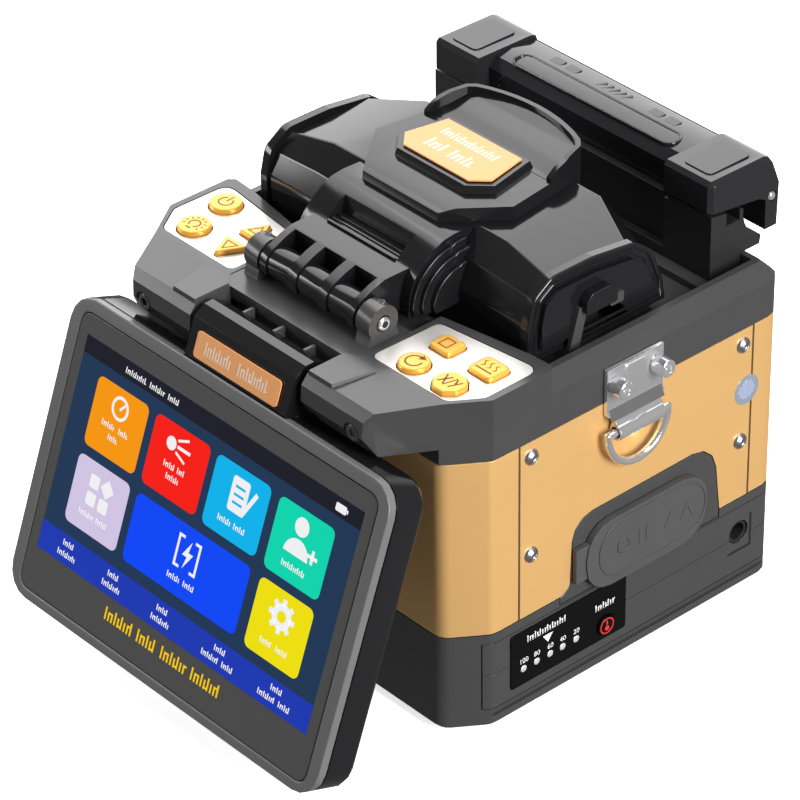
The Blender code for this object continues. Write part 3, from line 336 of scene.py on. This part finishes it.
def piece(name, bm, look, body, place=CASE, round_edges=0.0):
    """Links a mesh drawn in millimetres as a piece that rides on a body."""
    bmesh.ops.recalc_face_normals(bm, faces=bm.faces)
    bmesh.ops.transform(bm, matrix=place, verts=bm.verts)
    mesh = bpy.data.meshes.new(name)
    bm.to_mesh(mesh)
    bm.free()
    mesh.materials.append(MATERIALS[look] if isinstance(look, str) else look)
    mesh.shade_smooth()
    obj = bpy.data.objects.new(name, mesh)
    bpy.context.scene.collection.objects.link(obj)
    soften(obj, round_edges)
    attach(obj, body)


def swept(bm, outline, axis, start, end):
    """Adds an outline extruded along an axis. It is drawn in (Y, Z) for X, (X, Z) for Y, (X, Y) for Z."""
    spot = {
        "X": lambda u, v: (start, u, v),
        "Y": lambda u, v: (u, start, v),
        "Z": lambda u, v: (u, v, start),
    }[axis]
    shift = {"X": (end - start, 0, 0), "Y": (0, end - start, 0), "Z": (0, 0, end - start)}[axis]
    face = bm.faces.new([bm.verts.new(spot(u, v)) for u, v in outline])
    risen = bmesh.ops.extrude_face_region(bm, geom=[face], use_keep_orig=True)["geom"]
    bmesh.ops.translate(bm, vec=shift, verts=[v for v in risen if isinstance(v, bmesh.types.BMVert)])


def slab(name, outlines, axis, start, end, look, body, place=CASE, round_edges=0.0):
    """One outline, or several in one piece, extruded along an axis."""
    bm = bmesh.new()
    several = isinstance(outlines[0][0], (tuple, list))
    for outline in outlines if several else [outlines]:
        swept(bm, outline, axis, start, end)
    piece(name, bm, look, body, place, round_edges)


def ring_slab(name, outer, inner, axis, start, end, look, body):
    """A flat band between two outlines that have the same number of points."""
    bm = bmesh.new()
    count = len(outer)
    loops = []
    for level in (start, end):
        for outline in (outer, inner):
            spots = {"X": [(level, u, v) for u, v in outline], "Y": [(u, level, v) for u, v in outline],
                     "Z": [(u, v, level) for u, v in outline]}[axis]
            loops.append([bm.verts.new(spot) for spot in spots])
    for first, second in ((0, 1), (1, 3), (3, 2), (2, 0)):
        for i in range(count):
            k = (i + 1) % count
            bm.faces.new((loops[first][i], loops[first][k], loops[second][k], loops[second][i]))
    piece(name, bm, look, body)


def lathe(name, profile, centre, axis, look, body, flip=False):
    """A profile of (radius, height) turned about an axis through the centre, heights along the axis."""
    bm = bmesh.new()
    verts = [bm.verts.new((radius, 0, height)) for radius, height in profile]
    edges = [bm.edges.new(pair) for pair in zip(verts, verts[1:])]
    bmesh.ops.spin(bm, geom=verts + edges, cent=(0, 0, 0), axis=(0, 0, 1), angle=math.tau,
                   steps=TURNED_SIDES, use_merge=True)
    bmesh.ops.remove_doubles(bm, verts=bm.verts, dist=0.0001)
    turn = {"X": Matrix.Rotation(math.pi / 2, 4, "Y"), "Y": Matrix.Rotation(-math.pi / 2, 4, "X"),
            "Z": Matrix.Identity(4)}[axis]
    if flip:
        turn = turn @ Matrix.Rotation(math.pi, 4, "X")
    bmesh.ops.transform(bm, matrix=Matrix.Translation(centre) @ turn, verts=bm.verts)
    piece(name, bm, look, body, round_edges=0.12)


def button_head(name, centre, axis, flip=False):
    """The head of a button screw: a turned dome with a round recess in place of its socket."""
    floor = SCREW_HEIGHT * 0.62
    dome = [(0, floor), (SCREW_RADIUS * 0.42, floor), (SCREW_RADIUS * 0.46, SCREW_HEIGHT)]
    dome += [(SCREW_RADIUS * math.cos(a), SCREW_HEIGHT * math.sin(a))
             for a in (math.radians(55), math.radians(30), 0)]
    lathe(name, dome, centre, axis, "steel", "chassis", flip)


# ---------------------------------------------------------------- studio


CAMERA_LENS = 193.17
CAMERA_TURN, CAMERA_RISE, CAMERA_ROLL = math.radians(48.78), math.radians(33.99), math.radians(-0.86)
CAMERA_TARGET, CAMERA_DISTANCE = (6.43, 0.0, 66.12), 1.13148
CAMERA_REACH = 20.0
WHITE, OFF_WHITE = (1.0, 1.0, 1.0, 1), (0.96, 0.96, 0.96, 1)
FLOOR_HALF, WALL_RADIUS, WALL_HEIGHT = 6.0, 5.5, 12.0
FLOOR_GLOW, WALL_GLOW, SKY_GLOW = 0.74, 0.95, 0.18
LIGHTS_AIM = (0, 0, 0.06)


def place_camera():
    camera_data = bpy.data.cameras.new("camera")
    camera_data.sensor_width = 36.0
    camera_data.lens = CAMERA_LENS
    camera = bpy.data.objects.new("camera", camera_data)
    bpy.context.scene.collection.objects.link(camera)
    level = math.cos(CAMERA_RISE)
    back = Vector((math.sin(CAMERA_TURN) * level, -math.cos(CAMERA_TURN) * level, math.sin(CAMERA_RISE)))
    right = Vector((math.cos(CAMERA_TURN), math.sin(CAMERA_TURN), 0.0))
    up = back.cross(right)
    side = right * math.cos(CAMERA_ROLL) + up * math.sin(CAMERA_ROLL)
    top = up * math.cos(CAMERA_ROLL) - right * math.sin(CAMERA_ROLL)
    target = CASE @ Vector(CAMERA_TARGET)
    rotation = Matrix((side, top, back)).transposed().to_4x4()
    camera.matrix_world = Matrix.Translation(target + back * CAMERA_DISTANCE) @ rotation
    camera_data.clip_end = CAMERA_REACH
    bpy.context.scene.camera = camera


def glowing_paint(name, glow):
    material, tree, shader = node_tree(name)
    shader.inputs["Base Color"].default_value = OFF_WHITE
    shader.inputs["Emission Color"].default_value = WHITE
    shader.inputs["Emission Strength"].default_value = glow
    return material, tree, shader


def backing():
    """A white floor and a round wall that glow by themselves.

    Both are hidden from reflections and from bounced light, so that they do not brighten the black plastic.
    """
    floor_paint, tree, shader = glowing_paint("floor_paint", FLOOR_GLOW)
    mottle = grain(tree, 2.0)
    tree.links.new(spread(tree, mottle.outputs["Fac"], 0.85, 0.95), shader.inputs["Roughness"])
    shader.inputs["Specular IOR Level"].default_value = 0.1
    wall_paint = glowing_paint("wall_paint", WALL_GLOW)[0]
    floor = bmesh.new()
    bmesh.ops.create_grid(floor, x_segments=1, y_segments=1, size=FLOOR_HALF)
    wall = bmesh.new()
    bmesh.ops.create_cone(wall, cap_ends=False, segments=64, radius1=WALL_RADIUS, radius2=WALL_RADIUS,
                          depth=WALL_HEIGHT)
    for name, shape, paint in (("floor", floor, floor_paint), ("wall", wall, wall_paint)):
        mesh = bpy.data.meshes.new(name)
        shape.to_mesh(mesh)
        shape.free()
        mesh.materials.append(paint)
        sheet = bpy.data.objects.new(name, mesh)
        bpy.context.scene.collection.objects.link(sheet)
        sheet.visible_glossy = False
        sheet.visible_diffuse = False


def lighting():
    world = bpy.data.worlds.new("studio")
    bpy.context.scene.world = world
    world.use_nodes = True
    sky = world.node_tree.nodes["Background"]
    sky.inputs["Color"].default_value = WHITE
    sky.inputs["Strength"].default_value = SKY_GLOW
    for name, spot, size, power in (
        ("back_panel", (-1.25, 0.95, 1.0), (2.6, 1.9), 46.0),
        ("roof_light", (-0.15, 0.25, 1.6), (1.6, 1.6), 12.0),
        ("side_light", (1.5, 0.05, 0.65), (0.6, 1.2), 39.0),
        ("front_light", (-1.25, -0.95, 0.45), (0.6, 0.6), 11.0),
    ):
        data = bpy.data.lights.new(name, "AREA")
        data.shape = "RECTANGLE"
        data.size, data.size_y = size
        data.energy = power
        lamp = bpy.data.objects.new(name, data)
        bpy.context.scene.collection.objects.link(lamp)
        lamp.location = spot
        aim = Vector(LIGHTS_AIM) - Vector(spot)
        lamp.rotation_euler = aim.to_track_quat("-Z", "Y").to_euler()


def studio():
    place_camera()
    bpy.context.scene.view_settings.view_transform = "Standard"
    backing()
    lighting()


# ---------------------------------------------------------------- display


SCREEN_COLOURS = {
    "navy": (0.012, 0.038, 0.095), "slate": (0.009, 0.010, 0.020), "royal": (0.010, 0.040, 0.48),
    "amber": (1.0, 0.33, 0.0), "scarlet": (1.0, 0.010, 0.004), "azure": (0.0, 0.48, 0.90),
    "mint": (0.0, 0.72, 0.46), "lilac": (0.70, 0.60, 0.84), "cobalt": (0.0, 0.065, 1.0),
    "lemon": (0.93, 0.81, 0.0), "paper": (0.95, 0.95, 0.97), "gold": (1.0, 0.62, 0.0),
}
LIT = {name: lit(f"screen_{name}", colour) for name, colour in SCREEN_COLOURS.items()}
SCREEN_LEVEL = -8.30
LAYER_STEP = 0.015
WORD_GAP = 0.9
TOP_BAR, BOTTOM_BAR = 5.0, 54.1
LCD_TOP, LCD_HALF_X, LCD_HEIGHT = -17.6, 55.3, 62.3


def on_screen(name, outlines, colour, layer):
    """A flat patch of the picture. Outlines are drawn in (X, distance below the picture's top)."""
    several = isinstance(outlines[0][0], (tuple, list))
    outlines = outlines if several else [outlines]
    placed = [[(x, LCD_TOP - v) for x, v in outline][::-1] for outline in outlines]
    front = SCREEN_LEVEL - LAYER_STEP * layer
    slab(f"screen_{name}", placed, "Y", front, front + 0.01, LIT[colour], "monitor", SCREEN)


def letters(x, top, width, height, stroke):
    """Unreadable strokes as wide as a word: uprights of two heights, some joined by a cross stroke."""
    shapes = []
    step = stroke * 2.1
    for index in range(max(int(width / step), 1)):
        left = x + index * step
        rise = 0.0 if index % 5 in (0, 3) else height * 0.28
        shapes.append(rectangle((left, top + rise), (left + stroke, top + height)))
        if index % 3 == 1:
            level = top + height * (0.3 if index % 2 else 0.8)
            low = (left + stroke * 0.9, level)
            shapes.append(rectangle(low, (left + step + stroke * 0.1, level + stroke * 0.8)))
    return shapes


def printed(rows, base):
    """Letters turned the right way up, hung below a level: rows of (x, drop, width, height, stroke)."""
    shapes = [shape for row in rows for shape in letters(*row)]
    return [[(x, base - v) for x, v in shape][::-1] for shape in shapes]


def text_bars(name, middle, top, widths, colour, height=1.7, pitch=2.9, stroke=0.36):
    """Rows of plain strokes that stand for words."""
    rows = []
    for row, width in enumerate(widths):
        x = middle - sum(width) / 2 - WORD_GAP / 2 * (len(width) - 1)
        for length in width:
            rows.extend(letters(x, top + row * pitch, length, height, stroke))
            x += length + WORD_GAP
    on_screen(name, rows, colour, 3)


def display():
    on_screen("picture", rectangle((-LCD_HALF_X, 0), (LCD_HALF_X, LCD_HEIGHT)), "navy", 1)
    on_screen("top_bar", rectangle((-LCD_HALF_X, 0), (LCD_HALF_X, TOP_BAR)), "slate", 2)
    on_screen("bottom_bar", rectangle((-LCD_HALF_X, BOTTOM_BAR), (LCD_HALF_X, LCD_HEIGHT)), "royal", 2)
    tiles = {
        "meter": ((-47.4, 8.2), (-26.3, 28.0), "amber"),
        "finder": ((-23.3, 8.2), (-1.2, 28.0), "scarlet"),
        "records": ((1.5, 8.4), (23.0, 28.2), "azure"),
        "care": ((26.3, 8.6), (47.6, 28.6), "mint"),
        "functions": ((-47.8, 30.8), (-26.2, 50.5), "lilac"),
        "splice": ((-23.3, 31.0), (22.8, 50.6), "cobalt"),
        "system": ((26.6, 31.2), (47.6, 51.0), "lemon"),
    }
    for name, (low, high, colour) in tiles.items():
        on_screen(f"tile_{name}", rounded(rectangle(low, high), 2.0), colour, 2)
    tile_icons()
    for name, middle, top, widths in (
        ("meter_words", -36.9, 18.6, [(6.0, 4.2), (4.2,)]),
        ("finder_words", -12.2, 18.6, [(4.6, 3.6), (5.4,)]),
        ("records_words", 12.2, 23.0, [(5.4, 4.6)]),
        ("care_words", 37.0, 23.6, [(9.6,)]),
        ("functions_words", -37.0, 44.8, [(6.2, 5.0)]),
        ("splice_words", -0.2, 45.4, [(5.6, 4.8)]),
        ("system_words", 37.1, 45.8, [(5.2, 4.6)]),
    ):
        text_bars(name, middle, top, widths, "paper")
    text_bars("clock_words", -27.0, 1.9, [(9.0, 6.6, 5.0)], "paper")
    for index, middle in enumerate((-43.5, -24.5, -4.0, 19.5, 42.0)):
        lower = (7.6,) if index < 3 else (7.2, 5.0)
        text_bars(f"reading_{index}", middle, 55.6, [(4.8,), lower], "paper", pitch=3.1)
    battery = rounded(rectangle((45.3, 1.6), (49.3, 3.8)), 0.4, 2)
    on_screen("charge", [battery, rectangle((49.4, 2.2), (49.9, 3.2))], "paper", 3)
    text_bars("title", 0.0, 65.2, [(12.5, 9.0, 11.5, 13.0)], "gold", height=3.6, stroke=0.62)


def tile_icons():
    """Plain pictograms on the tiles."""
    white = "paper"
    dial = [circle((-36.9, 13.6), 3.4, 28)]
    on_screen("meter_dial", dial, white, 3)
    on_screen("meter_face", [circle((-36.9, 13.6), 2.5, 28)], "amber", 4)
    on_screen("meter_hand", [bar((-36.9, 14.0), (-35.2, 12.0), 0.7)], white, 5)
    on_screen("finder_beam", [circle((-15.6, 13.6), 1.9, 24), bar((-13.2, 13.6), (-8.0, 13.6), 0.9),
                              bar((-13.4, 12.0), (-9.4, 10.4), 0.7), bar((-13.4, 15.2), (-9.4, 16.8), 0.7)],
              white, 3)
    sheet = rounded(rectangle((9.0, 11.0), (15.6, 20.6)), 0.8, 2)
    on_screen("records_sheet", sheet, white, 3)
    on_screen("records_lines", [bar((10.4, v), (14.2, v), 0.7) for v in (13.6, 15.8, 18.0)], "azure", 4)
    on_screen("records_pen", bar((15.0, 19.6), (18.6, 12.6), 1.3), white, 5)
    on_screen("care_figure", [circle((36.2, 13.2), 2.6, 24), arc((36.2, 21.2), 4.6, 180, 360, 14)[::-1]],
              white, 3)
    on_screen("care_plus", [bar((40.2, 19.0), (44.0, 19.0), 1.0), bar((42.1, 17.1), (42.1, 20.9), 1.0)],
              white, 4)
    on_screen("functions_squares", [rounded(rectangle((x, v), (x + 3.8, v + 3.8)), 0.6, 2)
                                    for x, v in ((-41.6, 34.2), (-41.6, 39.2), (-36.6, 39.2))], white, 3)
    on_screen("functions_diamond", [(-34.4, 33.4), (-31.7, 36.1), (-34.4, 38.8), (-37.1, 36.1)], white, 3)
    corner = [rectangle((-4.8, 34.0), (-4.0, 43.2)), rectangle((3.4, 34.0), (4.2, 43.2))]
    ends = [rectangle((-4.8, v), (-2.4, v + 0.8)) for v in (34.0, 42.4)]
    ends += [rectangle((1.8, v), (4.2, v + 0.8)) for v in (34.0, 42.4)]
    on_screen("splice_brackets", corner + ends, white, 3)
    bolt = [(0.6, 34.6), (-2.2, 39.2), (-0.3, 39.2), (-1.2, 42.8), (1.9, 37.9), (0.0, 37.9)]
    on_screen("splice_bolt", bolt, white, 4)
    teeth = [bar((37.1 + 2.6 * math.cos(a), 38.0 + 2.6 * math.sin(a)),
                 (37.1 + 4.8 * math.cos(a), 38.0 + 4.8 * math.sin(a)), 1.5)
             for a in (math.tau * i / 8 for i in range(8))]
    on_screen("system_gear", [circle((37.1, 38.0), 3.6, 28), *teeth], white, 3)
    on_screen("system_hole", [circle((37.1, 38.0), 1.6, 20)], "lemon", 4)


# ---------------------------------------------------------------- details on the body


def key_marks():
    """Plain symbols printed on the keys, a hair above their tops."""
    low, high = KEY_TOP - 0.02, KEY_TOP + 0.05

    def mark(key, outlines):
        slab(f"{key}_mark", outlines, "Z", low, high, "ink", key)

    def band(centre, radius, start, end):
        return arc(centre, radius + 0.25, start, end, 24) + arc(centre, radius - 0.25, end, start, 24)

    mark("key_power", [band((-53.1, -8.4), 2.0, 120, 420), bar((-53.1, -8.2), (-53.1, -5.4), 0.5)])
    lamp_x, lamp_y = -50.1, -21.6
    rays = [bar((lamp_x + 2.5 * math.cos(a), lamp_y + 2.5 * math.sin(a)),
                (lamp_x + 3.4 * math.cos(a), lamp_y + 3.4 * math.sin(a)), 0.35)
            for a in (math.radians(-30 + 30 * i) for i in range(9))]
    mark("key_light", [band((lamp_x, lamp_y), 1.6, -60, 240), bar((-51.0, -24.0), (-49.2, -24.0), 0.5),
                       *rays])
    mark("key_reset", [band((38.2, -22.9), 2.3, 70, 380), [(38.4, -21.7), (38.4, -19.5), (40.4, -20.6)]])
    mark("key_stop", [rectangle((36.2, -13.3), (39.6, -12.9)), rectangle((36.2, -9.9), (39.6, -9.5)),
                      rectangle((36.2, -12.9), (36.6, -9.9)), rectangle((39.2, -12.9), (39.6, -9.9))])
    edge = [(-0.2, 0.35 * i) for i in range(9)] + [(0.2, 0.35 * i) for i in range(8, -1, -1)]
    waves = [[(x + 0.5 * math.sin(v * 2.2) + s, -11.8 + v) for s, v in edge] for x in (51.0, 53.05, 55.1)]
    mark("key_heat", [*waves, rectangle((50.2, -13.2), (55.9, -12.7))])
    mark("key_axis", [bar((48.6, -24.6), (50.6, -20.8), 0.5), bar((50.6, -24.6), (48.6, -20.8), 0.5),
                      bar((50.9, -24.9), (52.0, -20.5), 0.4), bar((52.4, -20.8), (53.2, -22.6), 0.5),
                      bar((54.2, -20.8), (52.6, -24.6), 0.5)])
    for key, (x, y), up in (("key_up", (-36.1, -12.1), 1), ("key_down", (-35.8, -21.6), -1)):
        triangle = [(x - 2.2 * up, y - 1.3 * up), (x + 2.2 * up, y - 1.3 * up), (x, y + 2.9 * up)]
        ring_slab(f"{key}_mark", triangle, offset(triangle, -0.35), "Z", low, high, "ink", key)


def side_screws():
    """Button-head screws in the corners of both side panels and on the rear one."""
    for side, name in SIDES:
        for y, z in ((-6.0, 79.7), (-6.0, 49.2), (70.1, 79.6), (70.2, 49.0)):
            centre = (side * HALF_WIDTH, y, z)
            button_head(f"panel_screw_{name}_{int(z)}_{int(y + 10)}", centre, "X", side < 0)
    for x in (-52.0, 52.0):
        for z in (36.0, 79.0):
            button_head(f"rear_screw_{int(x + 60)}_{int(z)}", (x, CASE_REAR_Y, z), "Y")


def charge_gauge():
    """The printed gauge on the battery's end: five lamps, a pointer, figures and the button's ring."""
    face = HALF_WIDTH + 0.5
    proud = face + 0.03
    for index, y in enumerate((-8.8, -4.1, 0.7, 5.2, 10.1)):
        lamp = [(0, 0.22), (0.7, 0.2), (1.05, 0.0)]
        lathe(f"gauge_lamp_{index}", lamp, (face, y, 14.1), "X", "silver", "battery")
        digits(f"gauge_figure_{index}", str(100 - 20 * index), (proud, y, 16.7), 2.2, "battery")
    pointer = [(-0.2, 18.5), (1.6, 21.0), (-2.0, 21.0)]
    slab("gauge_pointer", pointer, "X", face, proud, "white", "battery")
    for name, row, base in (("gauge_words", (-7.6, 0.0, 14.6, 2.2, 0.42), 24.2),
                            ("button_words", (17.0, 0.0, 7.4, 2.2, 0.42), 21.4)):
        slab(name, printed([row], base), "X", face, proud, "white", "battery")
    top = HALF_WIDTH + 1.1
    ring_slab("button_ring", circle((20.8, 13.3), 2.5), circle((20.8, 13.3), 2.1), "X", top, top + 0.04,
              "red", "push_button")
    slab("button_dot", [circle((20.8, 12.6), 0.75), bar((20.8, 13.2), (20.8, 14.9), 0.5)], "X",
         top, top + 0.04, "red", "push_button")


def flat_mark(name, outlines, x, look, body):
    """A print or a shallow relief on a face that looks along +X, 0.05 mm proud of it."""
    slab(name, outlines, "X", x, x + 0.05, look, body)


def panel_seams():
    """Dark joints beside each side panel, where it meets the front and rear sheets."""
    for side, name in SIDES:
        low, high = (CASE.inverted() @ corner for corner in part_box(f"side_panel_{name}"))
        start, end = span(side, HALF_WIDTH - 0.3, HALF_WIDTH + 0.03)
        for index, y in enumerate((low.y, high.y)):
            strip = rectangle((y - 0.35, low.z), (y + 0.35, high.z))
            slab(f"panel_seam_{name}_{index}", strip, "X", start, end, "bronze", "chassis")


def seal_star(centre):
    """The outline of the seal's twelve-pointed pattern."""
    points = []
    for i in range(12):
        for radius, turn in ((4.1, i), (3.5, i + 0.5)):
            a = math.tau * turn / 12
            points.append((centre[0] + radius * math.cos(a), centre[1] + radius * math.sin(a)))
    return offset(points, -0.8)


def side_marks():
    """What is printed or moulded on the right side: the socket's bracket mark, the seal, the port cover."""
    corner = [(75.9, 23.2), (75.9, 12.4), (67.2, 12.4), (67.2, 13.1), (75.2, 13.1), (75.2, 23.2)]
    flat_mark("socket_mark", corner[::-1], HALF_WIDTH + 0.02, "print_and_hole_shade", "chassis")
    seal_at = (72.0, 64.7)
    flat_mark("seal_foil", circle(seal_at, 4.5, 36), HALF_WIDTH, "seal", "chassis")
    flat_mark("seal_star", seal_star(seal_at), HALF_WIDTH + 0.05, "seal_dark", "chassis")
    face = (CASE.inverted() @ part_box("port_cover")[1]).x
    sunk = face - 0.03
    outer = rounded(rectangle((16.2, 29.4), (55.6, 47.2)), 8.6, 8)
    ring_slab("port_cover_line", outer, offset(outer, -0.5), "X", sunk, face + 0.28, "rubber", "port_cover")
    ring_slab("port_cover_dial", circle((25.2, 38.3), 2.4, 20), circle((25.2, 38.3), 1.8, 20), "X",
              sunk, face + 0.25, "rubber", "port_cover")
    strokes = [bar((31.0, 36.0), (31.0, 40.6), 0.6), bar((33.6, 36.0), (33.6, 40.6), 0.6)]
    arrow = [(46.0, 36.0), (47.0, 36.0), (48.6, 39.6), (50.2, 36.0), (51.2, 36.0), (49.0, 40.8), (48.2, 40.8)]
    slab("port_cover_marks", [*strokes, arrow, bar((40.4, 36.2), (42.6, 40.6), 0.6)], "X",
         sunk, face + 0.25, "rubber", "port_cover")


def bracket_details():
    """The pressed middle of each strap bracket, and a strip of painted shade on the bend above the ring's
    tube.
    """
    face = HALF_WIDTH + 1.5
    raised = rounded(rectangle((25.2, 83.4), (32.8, 94.2)), 0.8, 3)
    for side, name in SIDES:
        start, end = span(side, face - 0.1, face + 0.45)
        slab(f"bracket_rib_{name}", raised, "X", start, end, "chrome", "chassis", round_edges=0.3)
        # A dark strip on the bend: painted shade where the bracket turns downwards.
        bend = [(face - 0.1, 82.5), (face + 1.26, 79.6), (face + 1.34, 79.7), (face + 0.02, 82.7)]
        bend = bend if side > 0 else mirrored(bend)
        slab(f"bracket_bend_{name}", bend, "Y", 19.6, 38.4, "bend_shade", "chassis")


def flange_outline(grow):
    """The outline of the cover's end wings, made larger or smaller all round."""
    corners = [(3.0, 97.1), (51.9, 97.1), (50.6, 104.5), (46.6, 114.2), (40.6, 118.8), (25.6, 120.8),
               (11.3, 120.8), (4.7, 116.4), (2.9, 108.6)]
    return offset(rounded(corners, [0, 0, 5.0, 6.0, 5.0, 8.0, 5.0, 5.0, 5.0], 5), grow)


def cover_ends():
    """The ribs beside the hump, and the bands and clips on the two wings."""
    clip = rounded([(19.6, 107.4), (30.6, 107.4), (30.6, 111.2), (28.2, 113.2), (21.6, 113.2),
                    (19.6, 111.0)], 0.8, 3)
    stem = [(15.4, 97.6), (18.9, 97.6), (21.8, 108.6), (18.8, 109.4)]
    tab = rounded(rectangle((29.8, 105.0), (34.6, 108.2)), 0.6, 3)
    for side, name in SIDES:
        for index, (depth, near, far) in enumerate(((1.2, 21.7, 23.0), (3.4, 23.0, 24.2), (6.2, 24.2, 25.6))):
            rib = [(9.0, 104.0), (9.0, 121.6 - depth), (5.0, 121.4 - depth),
                   *arc((4.6, 105.2), 15.6 - depth, 92, 176, 12), (-10.2 + depth, 103.8)]
            slab(f"hump_rib_{name}_{index}", rib[::-1], "X", *span(side, near, far), "cover", "wind_cover",
                 round_edges=0.3)
        for index, (outer, inner, rise) in enumerate(((-0.2, -1.4, 0.5), (-2.4, -3.2, 0.3))):
            ring_slab(f"flange_band_{name}_{index}", flange_outline(outer), flange_outline(inner), "X",
                      *span(side, 51.6, 51.8 + rise), "cover", "wind_cover")
        slab(f"end_clip_{name}", clip, "X", *span(side, 53.2, 56.4), "cover", "wind_cover", round_edges=0.5)
        slab(f"end_clip_stem_{name}", [stem, tab], "X", *span(side, 53.2, 54.6), "case", "wind_cover",
             round_edges=0.3)


def cover_details():
    """The details of the wind cover: its ends, the strips in its scoop, its label's words and its pins."""
    cover_ends()
    for index, y in enumerate((-3.2, -5.0, -6.8)):
        slab(f"scoop_strip_{index}", rectangle((-13.2, y - 0.35), (13.2, y + 0.35)), "Z", 115.7, 116.3,
             "cover", "wind_cover", round_edges=0.15)
    words = printed([(-10.4, 0.0, 21.5, 3.3, 0.62), (-9.2, 6.0, 7.0, 4.2, 0.8), (-0.4, 6.0, 9.6, 4.2, 0.8)],
                    33.2)
    top = (CASE.inverted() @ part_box("cover_label")[1]).z
    slab("cover_label_words", words, "Z", top - 0.02, top + 0.04, "pale", "wind_cover")
    rim = [(0, -0.2), (0.75, 0.1), (1.05, 0.1), (1.15, -0.3)]
    head = [(0, 0.35), (1.5, 0.35), (1.95, 0.0), (1.95, -0.4)]
    for side, name in SIDES:
        hole = (side * 22.2, -19.6, 112.9)
        lathe(f"ear_hole_rim_{name}", rim, hole, "Z", "case", "chassis")
        # A near-black disc deep in each hole: painted shade where the hole is dark.
        lathe(f"ear_hole_{name}", [(0, 0.12), (0.7, 0.1)], hole, "Z", "print_and_hole_shade", "chassis")
        pin = side * 24.85
        lathe(f"pin_head_{name}", head, (pin, -21.0, 108.0), "X", "chrome", "wind_cover", side < 0)
        hexagon = circle((-21.0, 108.0), 1.05, 6)
        # A near-black hexagon on each pin's end: painted shade in its hex socket.
        start, end = sorted((pin + side * 0.3, pin + side * 0.4))
        slab(f"pin_socket_{name}", hexagon, "X", start, end, "print_and_hole_shade", "wind_cover")


def arm_details():
    """The round screws in the ends of the two arms, and three short ribs between the arms."""
    screw = [(0, -0.5), (1.1, -0.5), (1.2, 0.15), (2.2, 0.15), (2.7, -0.5)]
    for x, name in ((-41.2, "left"), (41.2, "right")):
        lathe(f"arm_screw_{name}", screw, (x, -46.4, 94.6), "Y", "case", "chassis", True)
        # A near-black hexagon in each screw: painted shade in its socket.
        slab(f"arm_screw_socket_{name}", circle((x, 94.6), 1.1, 6), "Y", -46.1, -46.0, "print_and_hole_shade", "chassis")
    slots = [rectangle((x - 0.5, -37.0), (x + 0.5, -33.4)) for x in (-12.0, 0.0, 12.0)]
    slab("slot_ribs", slots, "Z", 98.0, 101.2, "case", "chassis", round_edges=0.15)


def tongue_words():
    """Unreadable strokes in place of the words on the tongue's label."""
    rows = [(-12.6, 0.0, 11.4, 3.6, 0.5), (0.6, 0.0, 12.4, 3.6, 0.5)]
    slab("tongue_words", printed(rows, -1.4), "Y", -7.86, -7.8, "pale", "monitor", SCREEN)


def heater_details():
    """The raised oblong and the marks on the oven's lid, and the heads of its pins."""
    oblong = rounded(rectangle((-31.0, 73.4), (31.0, 80.2)), 3.2, 6)
    ring_slab("lid_oblong", oblong, offset(oblong, -0.6), "Z", 124.0, 124.9, "smoked", "heater_lid")
    marks = []
    for x in (-22.0, -16.0, 16.0, 22.0):
        marks.append(rounded(rectangle((x - 2.2, 82.2), (x + 2.2, 85.2)), 0.5, 3))
    marks += [bar((x, 82.0), (x + 1.6, 85.4), 0.7) for x in (-6.0, -3.6, -1.2, 1.2, 3.6)]
    slab("lid_marks", marks, "Z", 123.9, 124.5, "smoked", "heater_lid", round_edges=0.1)
    head = [(0, 0.5), (0.9, 0.45), (1.3, 0.0)]
    for side, name in SIDES:
        lathe(f"lid_pin_head_{name}", head, (side * 53.2, 89.6, 112.8), "X", "chrome", "heater_lid", side < 0)


def digits(name, figures, centre, size, body):
    """Plain figures on a face that looks along +X."""
    data = bpy.data.curves.new(name, "FONT")
    data.body = figures
    data.size = size * MM
    data.align_x, data.align_y = "CENTER", "CENTER"
    data.extrude = 0.00001
    data.materials.append(MATERIALS["white"])
    obj = bpy.data.objects.new(name, data)
    bpy.context.scene.collection.objects.link(obj)
    upright = Matrix(((0, 0, 1), (1, 0, 0), (0, 1, 0))).to_4x4()
    obj.matrix_world = Matrix.Translation(CASE @ Vector(centre)) @ upright
    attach(obj, body)


dress_nodes()
studio()
display()
key_marks()
side_screws()
panel_seams()
side_marks()
bracket_details()
cover_details()
arm_details()
tongue_words()
heater_details()
charge_gauge()
